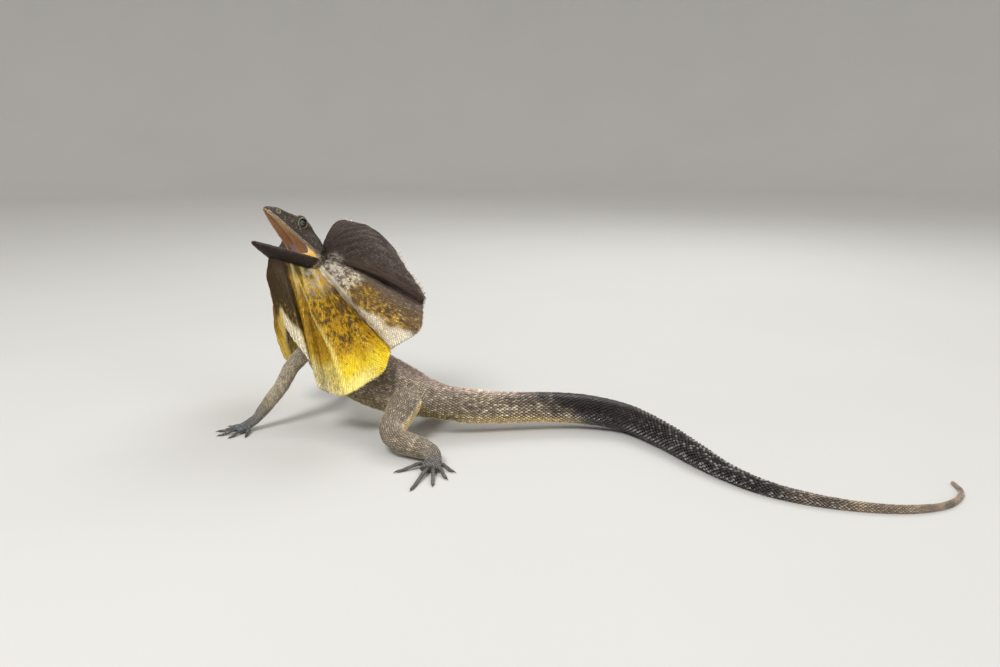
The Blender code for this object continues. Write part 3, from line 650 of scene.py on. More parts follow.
def frill_tint(s, v, p, side):
    """Colour of the frill at rib count s and share v, mirrored past the throat."""
    far = s > THROAT_RIB
    s = own_rib(s)
    fleck = noise(p, 1.3, 12)
    mottle = 0.6 * noise(p, 2.6, 13) + 0.6 * fleck
    lumps = noise(p, 7, 14)
    clouds = noise(p, 16, 15)
    s = s + 0.18 * lumps

    # the hood, its fold and the wing under it
    spot = window(s, 5.0, 5.6, 0.4) * window(v, 0.56, 0.64, 0.05)
    ochre = window(s, 6.4, 8.7, 1.3) * window(v, 0.30, 0.99, 0.22)
    near = smooth((by_reach(s, (3, 4.5, 6, 9), (0.16, 0.28, 0.46, 0.52)) + 0.10 * clouds - v) * 5)
    near = near * window(s, 3.4, 9.6, 1.3)
    dusting = window(s, 4.6, 7.8, 0.8) * smooth((v - 0.5) * 3)
    tint = paint(
        plain(DARK_HOOD, len(s)),
        (FOLD_BROWN, smooth((s - 3.6) / 1.0) * smooth((v - 0.1) * 5)),
        (GREY_BROWN, smooth((s - 5.2) / 1.0) * 0.85),
        (GREY_BROWN, window(s, 3.0, 9.0, 1.0) * smooth((v - 0.82) * 5) * 0.8),
        (DARK_HOOD, spot * 0.8),
        (WING_BROWN, ochre),
        (OCHRE_GOLD, ochre * smooth(-0.15 + 0.30 * (s - 6.4) + 1.3 * mottle + 0.4 * lumps)),
        (BLOTCH, ochre * smooth(0.10 - 1.5 * mottle + 0.5 * clouds) * 0.8),
        (SPECKLE, near * smooth(0.55 + 1.3 * mottle) * 0.95),
        (PALE_LEMON, near * smooth((fleck - 0.10) * 4) * smooth((v - 0.22) * 6) * 0.6),
        (SPECKLE, dusting * smooth((fleck - 0.45) * 5) * 0.4))

    # the golden panel, blotched, lemon toward the margin
    golden = smooth((s - by_reach(v, (0, 0.15, 0.4, 0.6, 0.8, 1), (9.2, 9.3, 9.2, 9.0, 8.65, 8.5))) / 0.30)
    density = by_reach(v, (0, 0.12, 0.3, 0.5, 0.7, 0.8, 0.9, 1), (0.6, 0.6, 0.9, 0.9, 0.6, 0.3, 0.05, 0.0))
    density = density + 0.35 * window(s, 9.0, 10.2, 0.7) * smooth((0.7 - v) * 4)
    lemon = golden * smooth((v - by_reach(s, (9, 10, 11, 12), (0.76, 0.73, 0.70, 0.66)) - 0.05 * lumps) * 7)
    pale = window(s, 10.3, 11.9, 0.7) * smooth((v - 0.84) * 10)
    tint = paint(
        tint,
        (GOLD, golden),
        (OCHRE, golden * smooth(0.35 + 0.7 * clouds) * 0.6),
        (BLOTCH, golden * smooth(density * 1.05 - 0.42 + 1.15 * mottle + 0.40 * lumps) * 0.95),
        (LEMON, lemon * (0.78 - 0.55 * smooth(0.10 + 0.9 * mottle - (v - 0.75) * 3))),
        (PALE_LEMON, golden * pale * 0.85),
        (BLOTCH, lemon * smooth((fleck - 0.55) * 5) * 0.6))

    # the ridge, with a pale lemon highlight painted along its crest, and the panel beyond it
    ridge_at = by_reach(v, RIDGE_V, RIDGE_S)
    beyond = smooth((s - ridge_at) / 0.25)
    low = smooth((v - 0.70 + 0.05 * lumps) * 9)
    # painted highlight: a pale lemon stripe along the crest of the raised ridge
    ridge_highlight = window(s - 0.18 * lumps - ridge_at, -0.10, 0.10, 0.14) * smooth((v - 0.03) * 12)
    tint = paint(
        tint,
        (OCHRE, beyond * (1 - low) * 0.55),
        (PALE_PANEL, beyond * low * 0.92),
        (CREAM, beyond * smooth((v - 0.85 + 0.06 * mottle) * 8) * 0.55),
        (LEMON, beyond * window(s, 12.0, 12.7, 0.4) * low * 0.35),
        (OLIVE_DOT, beyond * low * smooth((fleck - 0.25) * 4) * 0.6),
        (PALE_LEMON, ridge_highlight * smooth(0.75 + 0.6 * mottle) * 0.65))

    # the deep fold toward the throat, its own dark olive deepened with painted shade, and the far half's
    # yellow
    deep = smooth((s - by_reach(v, (0, 0.3, 0.5, 0.7, 1), (14.9, 14.9, 15.0, 15.4, 15.6))) / 0.5)
    end = smooth((v - 0.66 + 0.04 * lumps) * 10)
    tint = paint(
        tint,
        (OLIVE_DARK, deep * (1 - end) * 0.95),
        (OCHRE, deep * window(v, 0.50, 0.72, 0.15) * smooth(-0.1 + 1.2 * mottle) * 0.6),
        (CREAM, deep * end * (0.9 - 0.4 * smooth((fleck - 0.2) * 3))),
        (OCHRE, window(s, 15.0, 15.5, 0.3) * smooth((0.6 - v) * 4) * smooth(0.6 + mottle) * 0.8),
        (OCHRE_YELLOW, far * window(s, 12.0, 18.0, 0.8) * smooth((v - 0.62) * 6) * 0.85))

    # the root, and the cream band on the fold edge between wing and golden panel, partly its own cream and
    # partly a painted highlight along the crest
    root = smooth((0.15 - v) * 10) * smooth((s - 11.0) / 0.8)
    paler = smooth((0.28 - v) * 7) * window(s, 8.8, 12.4, 0.8)
    folds = window(s % 1.5, 0.5, 1.0, 0.4) * smooth((0.30 - v) * 7) * window(s, 10.5, 14.6, 0.6)
    white_centre = by_reach(v, (0, 0.15, 0.3, 0.5, 0.65, 0.85, 1), (8.5, 8.7, 8.6, 8.5, 8.3, 8.0, 7.85))
    white_half = by_reach(v, (0, 0.2, 0.5, 0.8, 0.9, 1), (1.0, 0.7, 0.36, 0.45, 0.6, 0.75))
    white = window(s, white_centre - white_half, white_centre + white_half, 0.30)
    tint = paint(
        tint,
        (OLIVE_DARK, root * 0.85),
        (SPECKLE, paler * smooth(0.5 + 1.2 * mottle) * 0.60),
        (PALE_PANEL, folds * 0.5),
        (CREAM, white * (0.86 - 0.6 * smooth((mottle - 0.05) * 3) * smooth((0.95 - v) * 5))))
    if side < 0:
        tint = paint(tint, (GREY_BROWN, np.full(len(s), 0.45)))
    return tint * (1.0 + 0.10 * fleck + 0.08 * clouds)[:, None]


def spine_tint(t, angle, p):
    """Colour along tail, trunk and neck: angle 90 degrees is the back, 270 the belly."""
    back = np.sin(angle)
    fleck = noise(p, 1.4, 20)
    spots = noise(p, 3.4, 21)
    lumps = noise(p, 9, 22)
    on_tail = smooth((TAIL_START + 0.5 - t) / 1.5)
    belly = smooth((-0.70 - back) * 6)
    tan = on_tail * smooth((-0.20 - back) * 2.5) * smooth((t - 11.9) / 1.0)
    base = on_tail * smooth((t - 12.8) / 1.2) * (1 - tan)
    black = smooth((13.9 - t + 0.9 * back + 0.5 * spots) / 1.9) * (1 - tan * 0.85)
    glint = black * smooth((11.5 - t) / 3.0) * smooth((fleck - 0.15) * 4)
    tint = paint(
        plain(TRUNK, len(t)),
        (FLANK_OLIVE, smooth((0.10 - back) * 2.0) * 0.7),
        (BACK_LINE, smooth((back - 0.80) * 6) * 0.75),
        (HEAD_BROWN, smooth(0.15 + 0.9 * spots + 0.7 * lumps) * 0.45),
        (PALE_GREY, smooth((fleck - 0.05) * 3.0) * 0.55),
        (BELLY, belly * (1 - on_tail) * 0.8),
        (TAIL_TAN, tan * 0.9),
        (PALE_GREY, base * smooth(0.25 + 1.2 * fleck) * 0.55),
        (TAIL_BLACK, black),
        (GLINT_GREY, glint * 0.38),
        (TAIL_END, smooth((7.2 - t) / 2.4) * (0.75 + 0.4 * lumps)))
    return tint * (1.0 + 0.22 * fleck + 0.12 * lumps)[:, None]


def limb_tint(name, t, p, normal):
    """Colour of a limb from its root to the foot."""
    fleck = noise(p, 1.4, 30)
    spots = noise(p, 3.2, 31)
    lumps = noise(p, 7, 32)
    share = t / limb_tubes[name].last
    if "hand" in name:
        tint = paint(
            plain(ARM_PALE, len(t)),
            (FOREARM_GREY, smooth(0.20 + 1.1 * fleck + 0.5 * spots) * 0.75),
            (FOREARM_GREY, smooth((share - 0.45) * 4) * 0.85),
            (HAND_BLUE, smooth((share - 0.70) * 6)),
            (PALE_GREY, smooth((fleck - 0.25) * 3) * 0.35))
    else:
        rear = smooth((normal[:, 0] - 0.30) * 3) * smooth((0.40 - normal[:, 2]) * 3)
        thigh = rear * window(share, 0.02, 0.42, 0.12)
        tint = paint(
            plain(LEG, len(t)),
            (PALE_GREY, smooth(0.15 + 1.2 * fleck) * 0.45),
            (HEAD_BROWN, smooth(0.2 * spots + lumps) * 0.35),
            (FOREARM_GREY, smooth((share - 0.60) * 4) * 0.5),
            (THIGH_CREAM, thigh * 0.9),
            (THIGH_YELLOW, thigh * smooth((-0.05 - normal[:, 2]) * 5) * 0.8),
            (HAND_BLUE, smooth((share - 0.85) * 8) * 0.6))
    under = smooth((-0.55 - normal[:, 2]) * 4)
    tint = paint(tint, (BELLY, under * 0.5))
    return tint * (1.0 + 0.15 * fleck + 0.10 * lumps)[:, None]


def head_tint(p):
    """Colour of the outside of head and jaw, by place on the head."""
    h, _, u = in_head(p).T
    spots = noise(p, 1.8, 41)
    lumps = noise(p, 6, 42)
    fleck = noise(p, 1.0, 43)
    cheek = window(h, -14, 4, 6) * window(u, -14, 2, 5)
    jaw = smooth((-1.2 - u - (h - HINGE[0]) * 0.22) / 2.0)
    tint = paint(
        plain(HEAD_BROWN, len(p)),
        (HEAD_TOP, smooth((u - 11) / 4) * 0.8),
        (SPECKLE, smooth((0.5 * spots + fleck - 0.5) * 3) * 0.18),
        (SPECKLE, cheek * smooth(0.1 + 1.2 * fleck) * 0.5),
        (JAW_DARK, jaw * 0.95))
    for sign in (1, -1):
        reach = (p - on_side(EYE_AT, sign)) @ HEAD_AXES.T
        rho = np.hypot(reach[:, 0], reach[:, 2] * 1.12)
        side = smooth((reach[:, 1] * sign) / 2.0)
        ear = np.linalg.norm(p - on_side(EAR_AT, sign), axis=1)
        nostril = np.linalg.norm(p - on_side(NOSTRIL_AT, sign), axis=1)
        tint = paint(
            tint,
            (JAW_DARK, smooth((7.0 - rho) / 1.0) * side * 0.7),
            (LID_PALE, window(rho, 3.95, 4.75, 0.35) * side * 0.95),
            (LID_PALE, window(rho, 5.7, 6.3, 0.4) * side * (0.35 - 0.2 * np.sign(reach[:, 2]))),
            (TAIL_BLACK, smooth((2.8 - ear) / 0.8)),
            (LID_PALE, window(nostril, 1.2, 2.4, 0.6) * 0.6),
            # painted shade: the nostril opening painted black
            (TAIL_BLACK, smooth((1.2 - nostril) / 0.4)))
    return tint * (1.0 + 0.22 * spots + 0.15 * lumps)[:, None]


# Materials

def set_up(item, **settings):
    """Give a node or another item its settings, and a node's named inputs their values."""
    inputs = getattr(item, "inputs", ())
    for key, value in settings.items():
        if key in inputs:
            inputs[key].default_value = value
        else:
            setattr(item, key, value)
    return item


def add(tree, kind, **settings):
    return set_up(tree.nodes.new(kind), **settings)


def shader_nodes(name, **inputs):
    """A material, its node tree and its shader with the inputs set."""
    mat = bpy.data.materials.new(name)
    mat.use_nodes = True
    tree = mat.node_tree
    return mat, tree, set_up(tree.nodes["Principled BSDF"], **inputs)


def wire(tree, *links):
    """Join sockets; each link is a node, its output, the next node and that one's input."""
    for source, output, target, socket in links:
        tree.links.new(source.outputs[output], target.inputs[socket])


def hide_material(name, grain, depth, roughness, coat=0.0, keel_light_and_shade=0.0, shine=0.3):
    """Skin or scale: tint from the mesh, broken up by fine grain, with bump and uneven gloss.

    Scales get painted light from their tone: a painted highlight on the keel and painted shade at the edges,
    the more so the larger the keel value is.
    """
    mat, tree, shader = shader_nodes(name, **{
        "Roughness": roughness, "Coat Weight": coat, "Specular IOR Level": shine, "Coat Roughness": 0.35})
    tint = add(tree, "ShaderNodeAttribute", attribute_name="tint")
    place = add(tree, "ShaderNodeTexCoord")
    fine = add(tree, "ShaderNodeTexNoise", Scale=1.0 / (grain * MM), Detail=4.0)
    wide = add(tree, "ShaderNodeTexNoise", Scale=1.0 / (grain * 9 * MM), Detail=2.0)
    lift = add(tree, "ShaderNodeMapRange", **{"From Min": 0.25, "From Max": 0.75,
                                              "To Min": 0.72, "To Max": 1.30})
    shade = add(tree, "ShaderNodeMix", data_type="RGBA", blend_type="MULTIPLY", Factor=1.0)
    gloss = add(tree, "ShaderNodeMapRange", **{"To Min": roughness - 0.12,
                                               "To Max": roughness + 0.12})
    bump = add(tree, "ShaderNodeBump", Strength=0.6, Distance=depth * MM)
    wire(tree, (place, "Object", fine, "Vector"), (place, "Object", wide, "Vector"),
         (fine, "Fac", lift, "Value"), (tint, "Color", shade, "A"), (lift, "Result", shade, "B"))
    if keel_light_and_shade:
        # the tone attribute carries painted light and shade: a highlight on each scale's keel, shade at its
        # edges
        tone = add(tree, "ShaderNodeAttribute", attribute_name="tone")
        power = add(tree, "ShaderNodeMath", operation="POWER")
        power.inputs[1].default_value = keel_light_and_shade
        keeled = add(tree, "ShaderNodeMix", data_type="RGBA", blend_type="MULTIPLY", Factor=1.0)
        wire(tree, (tone, "Fac", power, 0), (shade, "Result", keeled, "A"), (power, "Value", keeled, "B"))
        shade = keeled
    wire(tree, (shade, "Result", shader, "Base Color"), (wide, "Fac", gloss, "Value"),
         (gloss, "Result", shader, "Roughness"), (fine, "Fac", bump, "Height"),
         (bump, "Normal", shader, "Normal"))
    return mat


SKIN_FINISH = hide_material("skin", 0.9, 0.35, 0.60)
SCALE_FINISH = hide_material("scale", 0.7, 0.12, 0.50, keel_light_and_shade=2.4)
HEAD_SCALE_FINISH = hide_material("head_scale", 0.6, 0.12, 0.48, keel_light_and_shade=2.2)
FRILL_FINISH = hide_material("frill_skin", 1.1, 0.30, 0.62)
FRILL_SCALE_FINISH = hide_material("frill_scale", 0.8, 0.12, 0.55, keel_light_and_shade=1.3)
TAIL_SCALE_FINISH = hide_material("tail_scale", 0.8, 0.10, 0.34, keel_light_and_shade=3.0, shine=0.6)
WET_FINISH = hide_material("mouth_lining", 1.6, 0.25, 0.34, coat=0.25, shine=0.5)
HORN_FINISH = hide_material("horn", 0.6, 0.08, 0.32)
EYE_FINISH = hide_material("eyeball", 0.5, 0.0, 0.14, coat=1.0, shine=0.5)


# Meshes

def loft(rings, start=None, end=None):
    """Closed surface through rings of equal length, ends flat or drawn to a point."""
    count = len(rings[0])
    verts = list(np.concatenate(rings))
    faces = []
    for i in range(len(rings) - 1):
        for k in range(count):
            a, b = i * count + k, i * count + (k + 1) % count
            faces.append((a, a + count, b + count, b))
    for tip, base, flip in ((start, 0, False), (end, (len(rings) - 1) * count, True)):
        tip_index = len(verts)
        verts.append(np.mean(rings[0 if base == 0 else -1], axis=0) if tip is None else tip)
        for k in range(count):
            face = (base + k, base + (k + 1) % count, tip_index)
            faces.append(face[::-1] if flip else face)
    return verts, faces


def gather(shapes):
    """One list of points and faces from several."""
    verts, faces = [], []
    for more_verts, more_faces in shapes:
        first = len(verts)
        verts += list(more_verts)
        faces += [tuple(i + first for i in face) for face in more_faces]
    return verts, faces


def new_object(name, data):
    obj = bpy.data.objects.new(name, data)
    bpy.context.scene.collection.objects.link(obj)
    return obj


def slab_faces(columns, rows):
    """Faces of a sheet with two sides and a rim, from two grids of points, one after the other."""
    other = columns * rows
    faces = []
    for i in range(columns - 1):
        for j in range(rows - 1):
            a, c = i * rows + j, (i + 1) * rows + j
            faces.append((a, c, c + 1, a + 1))
            faces.append((a + other, a + 1 + other, c + 1 + other, c + other))
    rim = list(range(rows)) + [i * rows + rows - 1 for i in range(1, columns)]
    rim += [(columns - 1) * rows + j for j in range(rows - 2, -1, -1)]
    rim += [i * rows for i in range(columns - 2, 0, -1)]
    for a, b in zip(rim, rim[1:] + rim[:1]):
        faces.append((a, b, b + other, a + other))
    return faces


def make_object(name, verts, faces, material=None, tint=None, recalc=True):
    """Mesh object from millimetre points, with a colour for each point."""
    mesh = bpy.data.meshes.new(name)
    mesh.from_pydata([tuple(p) for p in to_metres(verts)], [], [tuple(f) for f in faces])
    if recalc:
        bm = bmesh.new()
        bm.from_mesh(mesh)
        bmesh.ops.recalc_face_normals(bm, faces=bm.faces)
        bm.to_mesh(mesh)
        bm.free()
    mesh.shade_smooth()
    if tint is not None:
        set_tint(mesh, tint)
    if material:
        mesh.materials.append(material)
    return new_object(name, mesh)


def set_tint(mesh, tint):
    layer = mesh.attributes.get("tint") or mesh.attributes.new("tint", "FLOAT_COLOR", "POINT")
    values = np.ones((len(mesh.vertices), 4))
    values[:, :3] = np.clip(tint, 0.002, 0.95)
    layer.data.foreach_set("color", values.ravel())


def points_of(mesh, what="co"):
    values = np.empty(len(mesh.vertices) * 3)
    mesh.vertices.foreach_get(what, values)
    return values.reshape(-1, 3)


def apply_modifiers(obj):
    mesh = bpy.data.meshes.new_from_object(
        obj.evaluated_get(bpy.context.evaluated_depsgraph_get()))
    obj.modifiers.clear()
    obj.data = mesh
    return mesh


def place_on_body(obj, slot, *nodes):
    """Fix a piece to the body; it stands for the named nodes. The slot is not used."""
    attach(obj, "root")
    if nodes:
        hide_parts(*nodes)


# Skin: every flesh form fused into one surface, then shaped finely

VOXEL = 0.6                      # mm, of the fused surface
SKIN_TRIANGLES = 185000


def head_solid(place_at, outline, corners, last, steps, tip):
    """Head or jaw as points and faces, drawn to a point at its tip."""
    rings = []
    for t in np.linspace(0, last, steps + 1):
        h, points = section(outline, t, np.arange(0, corners, 0.25))
        rings.append(place_at(h, *points.T))
    return loft(rings, end=place_at(tip[0], 0.0, tip[1]))


skin_forms = [loft(spine.rings((0, NECK_END), 230, 40)),
              head_solid(*HEAD_FORM, 50, SNOUT_TIP),
              head_solid(*JAW_FORM, 40, CHIN_TIP)]
for name, tube in limb_tubes.items():
    skin_forms.append(loft(tube.rings((0, tube.last), 48, 24)))
    for toe, _, _ in toes[name]:
        skin_forms.append(loft(toe.rings((0, toe.last), 16, 10)))


def ball(centre, axes, radii, rings=12, count=20):
    """Ellipsoid with its own axes, as points and faces."""
    loops = []
    turn = turns(count)[:, None]
    for i in range(1, rings):
        lat = math.pi * i / rings
        loops.append(centre + axes[0] * radii[0] * math.sin(lat) * np.cos(turn)
                     + axes[1] * radii[1] * math.sin(lat) * np.sin(turn)
                     + axes[2] * radii[2] * math.cos(lat))
    return loft(loops, centre + axes[2] * radii[2], centre - axes[2] * radii[2])


for sign in (1, -1):
    skin_forms.append(ball(on_side(EYE_AT, sign),
                           (AHEAD, UP, LEFT), (LID_RADIUS + 0.6, LID_RADIUS, LID_RADIUS)))


def fuse_skin():
    verts, faces = gather(skin_forms)
    verts = np.array(verts)
    verts[:, 2] = np.maximum(verts[:, 2], 0.0)
    obj = make_object("skin", verts, faces, SKIN_FINISH)
    set_up(obj.modifiers.new("fuse", "REMESH"), mode="VOXEL", voxel_size=VOXEL * MM)
    set_up(obj.modifiers.new("relax", "SMOOTH"), factor=0.5, iterations=5)
    apply_modifiers(obj)
    return obj


def shape_skin(p, n):
    """Lids, brows, ears, nostrils, a ridge along the snout and wrinkles, as moves of the fused surface."""
    h, l, u = in_head(p).T
    move = np.zeros(len(p))
    on_head = smooth((h + 14) / 6) * (np.abs(l) < 24) * (u > -40)
    for sign in (1, -1):
        reach = (p - on_side(EYE_AT, sign)) @ HEAD_AXES.T
        out = reach[:, 1] * sign
        rho = np.hypot(reach[:, 0], reach[:, 2] * 1.12)
        front = (out > 0) & (rho < 9) & (out < 9)
        lid = window(rho, 3.7, 4.7, 0.7) * 0.55 - window(rho, 4.9, 5.5, 0.5) * 0.35
        lid += window(rho, 5.7, 6.7, 0.8) * 0.40
        pocket = smooth((LID_OPENING + 0.35 - rho) / 0.7)
        depth = np.where(front, out, 0) - 2.2
        p = p - (LEFT * sign) * (np.where(front, pocket * np.maximum(depth, 0), 0))[:, None]
        move += np.where(front, lid, 0)
        brow = window(u, 13.5, 17.5, 2.0) * window(h, 14, 30, 5) * (np.abs(l) > 5)
        move += 0.25 * brow
        ear = np.linalg.norm(p - on_side(EAR_AT, sign), axis=1)
        move += 0.5 * window(ear, 2.9, 4.0, 0.8) - 1.5 * smooth((2.9 - ear) / 0.9)
        hole = np.linalg.norm(p - on_side(NOSTRIL_AT, sign), axis=1)
        move += 0.45 * window(hole, 1.2, 2.4, 0.7) - 1.3 * smooth((1.3 - hole) / 0.5)
    ridge = window(h, 28, 48, 6) * window(u - (14 - (h - 24) * 0.27), -1.5, 0.8, 1.4)
    move += 0.4 * ridge
    move += 0.22 * on_head * noise(p, 2.6, 51)
    wrinkle = noise(p * vec(1.0, 0.35, 0.35), 2.6, 52) + 0.5 * noise(p, 6, 53)
    body = 1 - on_head
    tail = smooth((p[:, 0] - 20) / 40)
    move += 0.30 * wrinkle * body * (1 - tail) * smooth(p[:, 2] / 8)
    return p + n * move[:, None]


skin = fuse_skin()
skin_points = points_of(skin.data) / MM + ORIGIN
skin_points = shape_skin(skin_points, points_of(skin.data, "normal"))
skin_points[:, 2] = np.maximum(skin_points[:, 2], 0.0)
skin.data.vertices.foreach_set("co", to_metres(skin_points).ravel())
thin = skin.modifiers.new("thin", "DECIMATE")
thin.ratio = SKIN_TRIANGLES / (2 * len(skin.data.polygons))
apply_modifiers(skin)
skin.data.shade_smooth()
skin_points = points_of(skin.data) / MM + ORIGIN
skin_tree = BVHTree.FromPolygons(skin_points.tolist(), [tuple(f.vertices) for f in skin.data.polygons])


# Seats: where each scale is rooted, which way it lies, its size, colour and place on a flat chart

class Seats:
    """Roots of many scales, gathered part by part."""

    def __init__(self):
        self.parts = []

    def add(self, place, lie, normal, size, tint, chart):
        count = len(place)
        size = np.broadcast_to(np.asarray(size, dtype=float), (count, 3))
        self.parts.append((place, lie, normal, size, tint, chart))

    def joined(self):
        return [np.concatenate(column) for column in zip(*self.parts)]


marks = []                       # places and tints that colour the bare skin


def settle(place, normal, reach=4.0):
    """Drop seats onto the skin along their normals; seats that miss it are dropped."""
    kept, spots, normals = [], [], []
    for i, (p, n) in enumerate(zip(place, normal)):
        start = Vector(p + n * reach)
        spot, face_normal, _, _ = skin_tree.ray_cast(start, Vector(-n), reach * 2)
        if spot is not None and face_normal.dot(Vector(n)) > 0.2:
            kept.append(i)
            spots.append(spot)
            normals.append(face_normal)
    kept = np.array(kept, dtype=int)
    return kept, np.array(spots).reshape(-1, 3), np.array(normals).reshape(-1, 3)


def tube_seats(tube, span, pitch):
    """Rows of seats round a tube, every second row set half a step round."""
    ts, angles, sizes = [], [], []
    t, row = span[0], 0
    while t < span[1]:
        wide, high = (float(x[0, 0]) for x in tube.frame(t)[4:])
        step = pitch(t)
        around = max(6, 2 * round(math.pi * (wide + high) / step / 2))
        turn = (np.arange(around) + 0.5 * (row % 2)) * 2 * math.pi / around
        ts.append(np.full(around, t))
        angles.append(turn)
        sizes.append(np.full(around, step))
        ahead = tube.frame(min(t + 0.05, tube.last))[0][0]
        behind = tube.frame(max(t - 0.05, 0))[0][0]
        t += step * 0.80 * 0.1 / max(np.linalg.norm(ahead - behind), 1e-6)
        row += 1
    return np.concatenate(ts), np.concatenate(angles), np.concatenate(sizes)


def jitter(count, seed, amount):
    """Random factors round 1."""
    return np.random.default_rng(seed).uniform(1 - amount, 1 + amount, count)


def vary_tint(tint, seed, amount):
    """Every scale a little lighter or darker than the next."""
    return tint * jitter(len(tint), seed, amount)[:, None]


def coat_tube(seats, tube, span, pitch, tint_of, lie_sign, chart_row, chart_rows, long=1.35, tall=0.8):
    """Scales over a tube part that show on the skin."""
    t, angle, size = tube_seats(tube, span, pitch)
    place, normal, along = tube.surface(t, angle)
    kept, spots, normals = settle(place, normal)
    t, angle, size, along = t[kept], angle[kept], size[kept], along[kept]
    tint = tint_of(t, angle, spots, normals)
    marks.append((spots, tint))
    vary = jitter(len(t), len(t), 0.10)
    sizes = np.stack((size * long * vary, size * 1.02 * vary, size * tall * vary), axis=1)
    chart = np.stack(((t - span[0]) / (span[1] - span[0]),
                      (chart_row + angle / (2 * math.pi) % 1.0) / chart_rows), axis=1)
    seats.add(spots, along * lie_sign, normals, sizes, vary_tint(tint, len(t) + 1, 0.30), chart)


def coat_head(seats, place_at, outline, corners, last, reach, pitch, chart_row):
    """Small scales over the outside of the head or the jaw."""
    rows = []
    t, row = 0.15, 0
    table = HEAD_ROWS if place_at is at_head else JAW_ROWS
    while t < last - 0.02:
        ring = np.arange(reach[0], reach[1], 0.05)
        h, points = section(outline, t, ring)
        length = run_length(points)
        middle = np.mean(section(outline, t, np.arange(corners))[1], axis=0)
        count = max(3, round(length[-1] / pitch))
        spots = (np.arange(count) + 0.5 * (row % 2)) * length[-1] / count
        out = np.interp(spots, length, points[:, 0])
        up = np.interp(spots, length, points[:, 1])
        p = place_at(h, out, up)
        rows.append((p, unit(p - place_at(h, *middle)),
                     np.full(count, t / last), np.interp(spots, length, ring)))
        ahead, behind = min(t + 0.5, last), max(t - 0.5, 0)
        stretch = (spline(table, ahead)[0][0] - spline(table, behind)[0][0]) / (ahead - behind)
        t += 0.82 * pitch / stretch
        row += 1
    p, n, share, ring = (np.concatenate(column) for column in zip(*rows))
    kept, spots, normals = settle(p, n, 3.0)
    share, ring = share[kept], ring[kept]
    clear = np.ones(len(kept), dtype=bool)
    for sign in (1, -1):
        for at, keep_off in ((EYE_AT, 6.1), (NOSTRIL_AT, 1.9), (EAR_AT, 2.8)):
            clear &= np.linalg.norm(spots - on_side(at, sign), axis=1) > keep_off
    spots, normals, share, ring = spots[clear], normals[clear], share[clear], ring[clear]
    tint = head_tint(spots)
    marks.append((spots, tint))
    vary = jitter(len(spots), chart_row + 5, 0.18)
    size = pitch * (1.1 - 0.3 * share) * vary
    sizes = np.stack((size * 1.15, size, size * 0.75), axis=1)
    chart = np.stack((share, (chart_row + (ring - reach[0]) / (reach[1] - reach[0])) / 3), axis=1)
    seats.add(spots, np.tile(-AHEAD, (len(spots), 1)), normals, sizes,
              vary_tint(tint, chart_row + 9, 0.40), chart)


def ring_of_scales(seats, centre, axis, radius, count, size, colour, chart_at, squash=1.0):
    """A ring of small scales round an eye or a nostril."""
    turn = turns(count)
    side = unit(np.cross(axis, AHEAD))
    ahead = np.cross(side, axis)
    spokes = ahead * np.cos(turn)[:, None] + side * np.sin(turn)[:, None] * squash
    place = centre + spokes * radius + axis * 2.0
    kept, spots, normals = settle(place, np.tile(axis, (count, 1)), 6.0)
    tint = vary_tint(plain(colour, len(kept)), count, 0.25)
    marks.append((spots, tint))
    chart = np.stack((chart_at + 0.03 * np.cos(turn[kept]),
                      0.84 + radius * 0.012 * np.sin(turn[kept])), axis=1)
    seats.add(spots, spokes[kept], normals, vec(size * 0.9, size, size * 0.8), tint, chart)


trunk_seats, tail_seats, arm_seats, leg_seats, head_seats = (Seats() for _ in range(5))


def body_tint(t, angle, p, normal):
    return spine_tint(t, angle, p)


def tail_pitch(t):
    return 1.15 + 1.65 * smooth((t - 1.0) / 10.0) - 0.5 * smooth((t - 12.5) / 3.0)


def trunk_pitch(t):
    return 1.75 + 0.55 * smooth((18.5 - t) / 3) - 0.25 * smooth((t - 21) / 3)


coat_tube(trunk_seats, spine, (TAIL_START, NECK_END), trunk_pitch, body_tint, -1, 0, 1)
coat_tube(tail_seats, spine, (0.1, TAIL_START), tail_pitch, body_tint, -1, 0, 1, long=1.55, tall=1.9)
for seats, names, limb_pitch in ((arm_seats, ("left_hand", "right_hand"), 1.55),
                                 (leg_seats, ("left_foot", "right_foot"), 1.85)):
    for k, name in enumerate(names):
        tube = limb_tubes[name]

        def own_tint(t, angle, p, normal, name=name):
            return limb_tint(name, t, p, normal)

        def toe_tint(t, angle, p, normal, name=name):
            return limb_tint(name, np.full(len(t), limb_tubes[name].last), p, normal)

        coat_tube(seats, tube, (0, tube.last), lambda t: limb_pitch, own_tint, 1, k * 6, 12)
        for j, (toe, _, _) in enumerate(toes[name]):
            coat_tube(seats, toe, (0.2, toe.last), lambda t: 1.15, toe_tint, 1, k * 6 + j + 1, 12,
                      long=1.3, tall=0.6)
coat_head(head_seats, *HEAD_FORM, (-5.5, 5.5), 1.2, 0)
coat_head(head_seats, *JAW_FORM, (3.6, 10.4), 1.25, 1)
for sign in (1, -1):
    eye = on_side(EYE_AT, sign)
    for radius, count, size, colour in ((3.75, 30, 0.65, JAW_DARK), (4.4, 30, 0.85, LID_PALE),
                                        (5.15, 30, 1.0, HEAD_BROWN), (6.0, 30, 1.2, HEAD_BROWN)):
        ring_of_scales(head_seats, eye, LEFT * sign, radius, count, size, colour, 0.5 + 0.2 * sign)
    nostril = on_side(NOSTRIL_AT, sign)
    ring_of_scales(head_seats, nostril, LEFT * sign, 1.75, 10, 0.9, LID_PALE, 0.8 + 0.1 * sign)


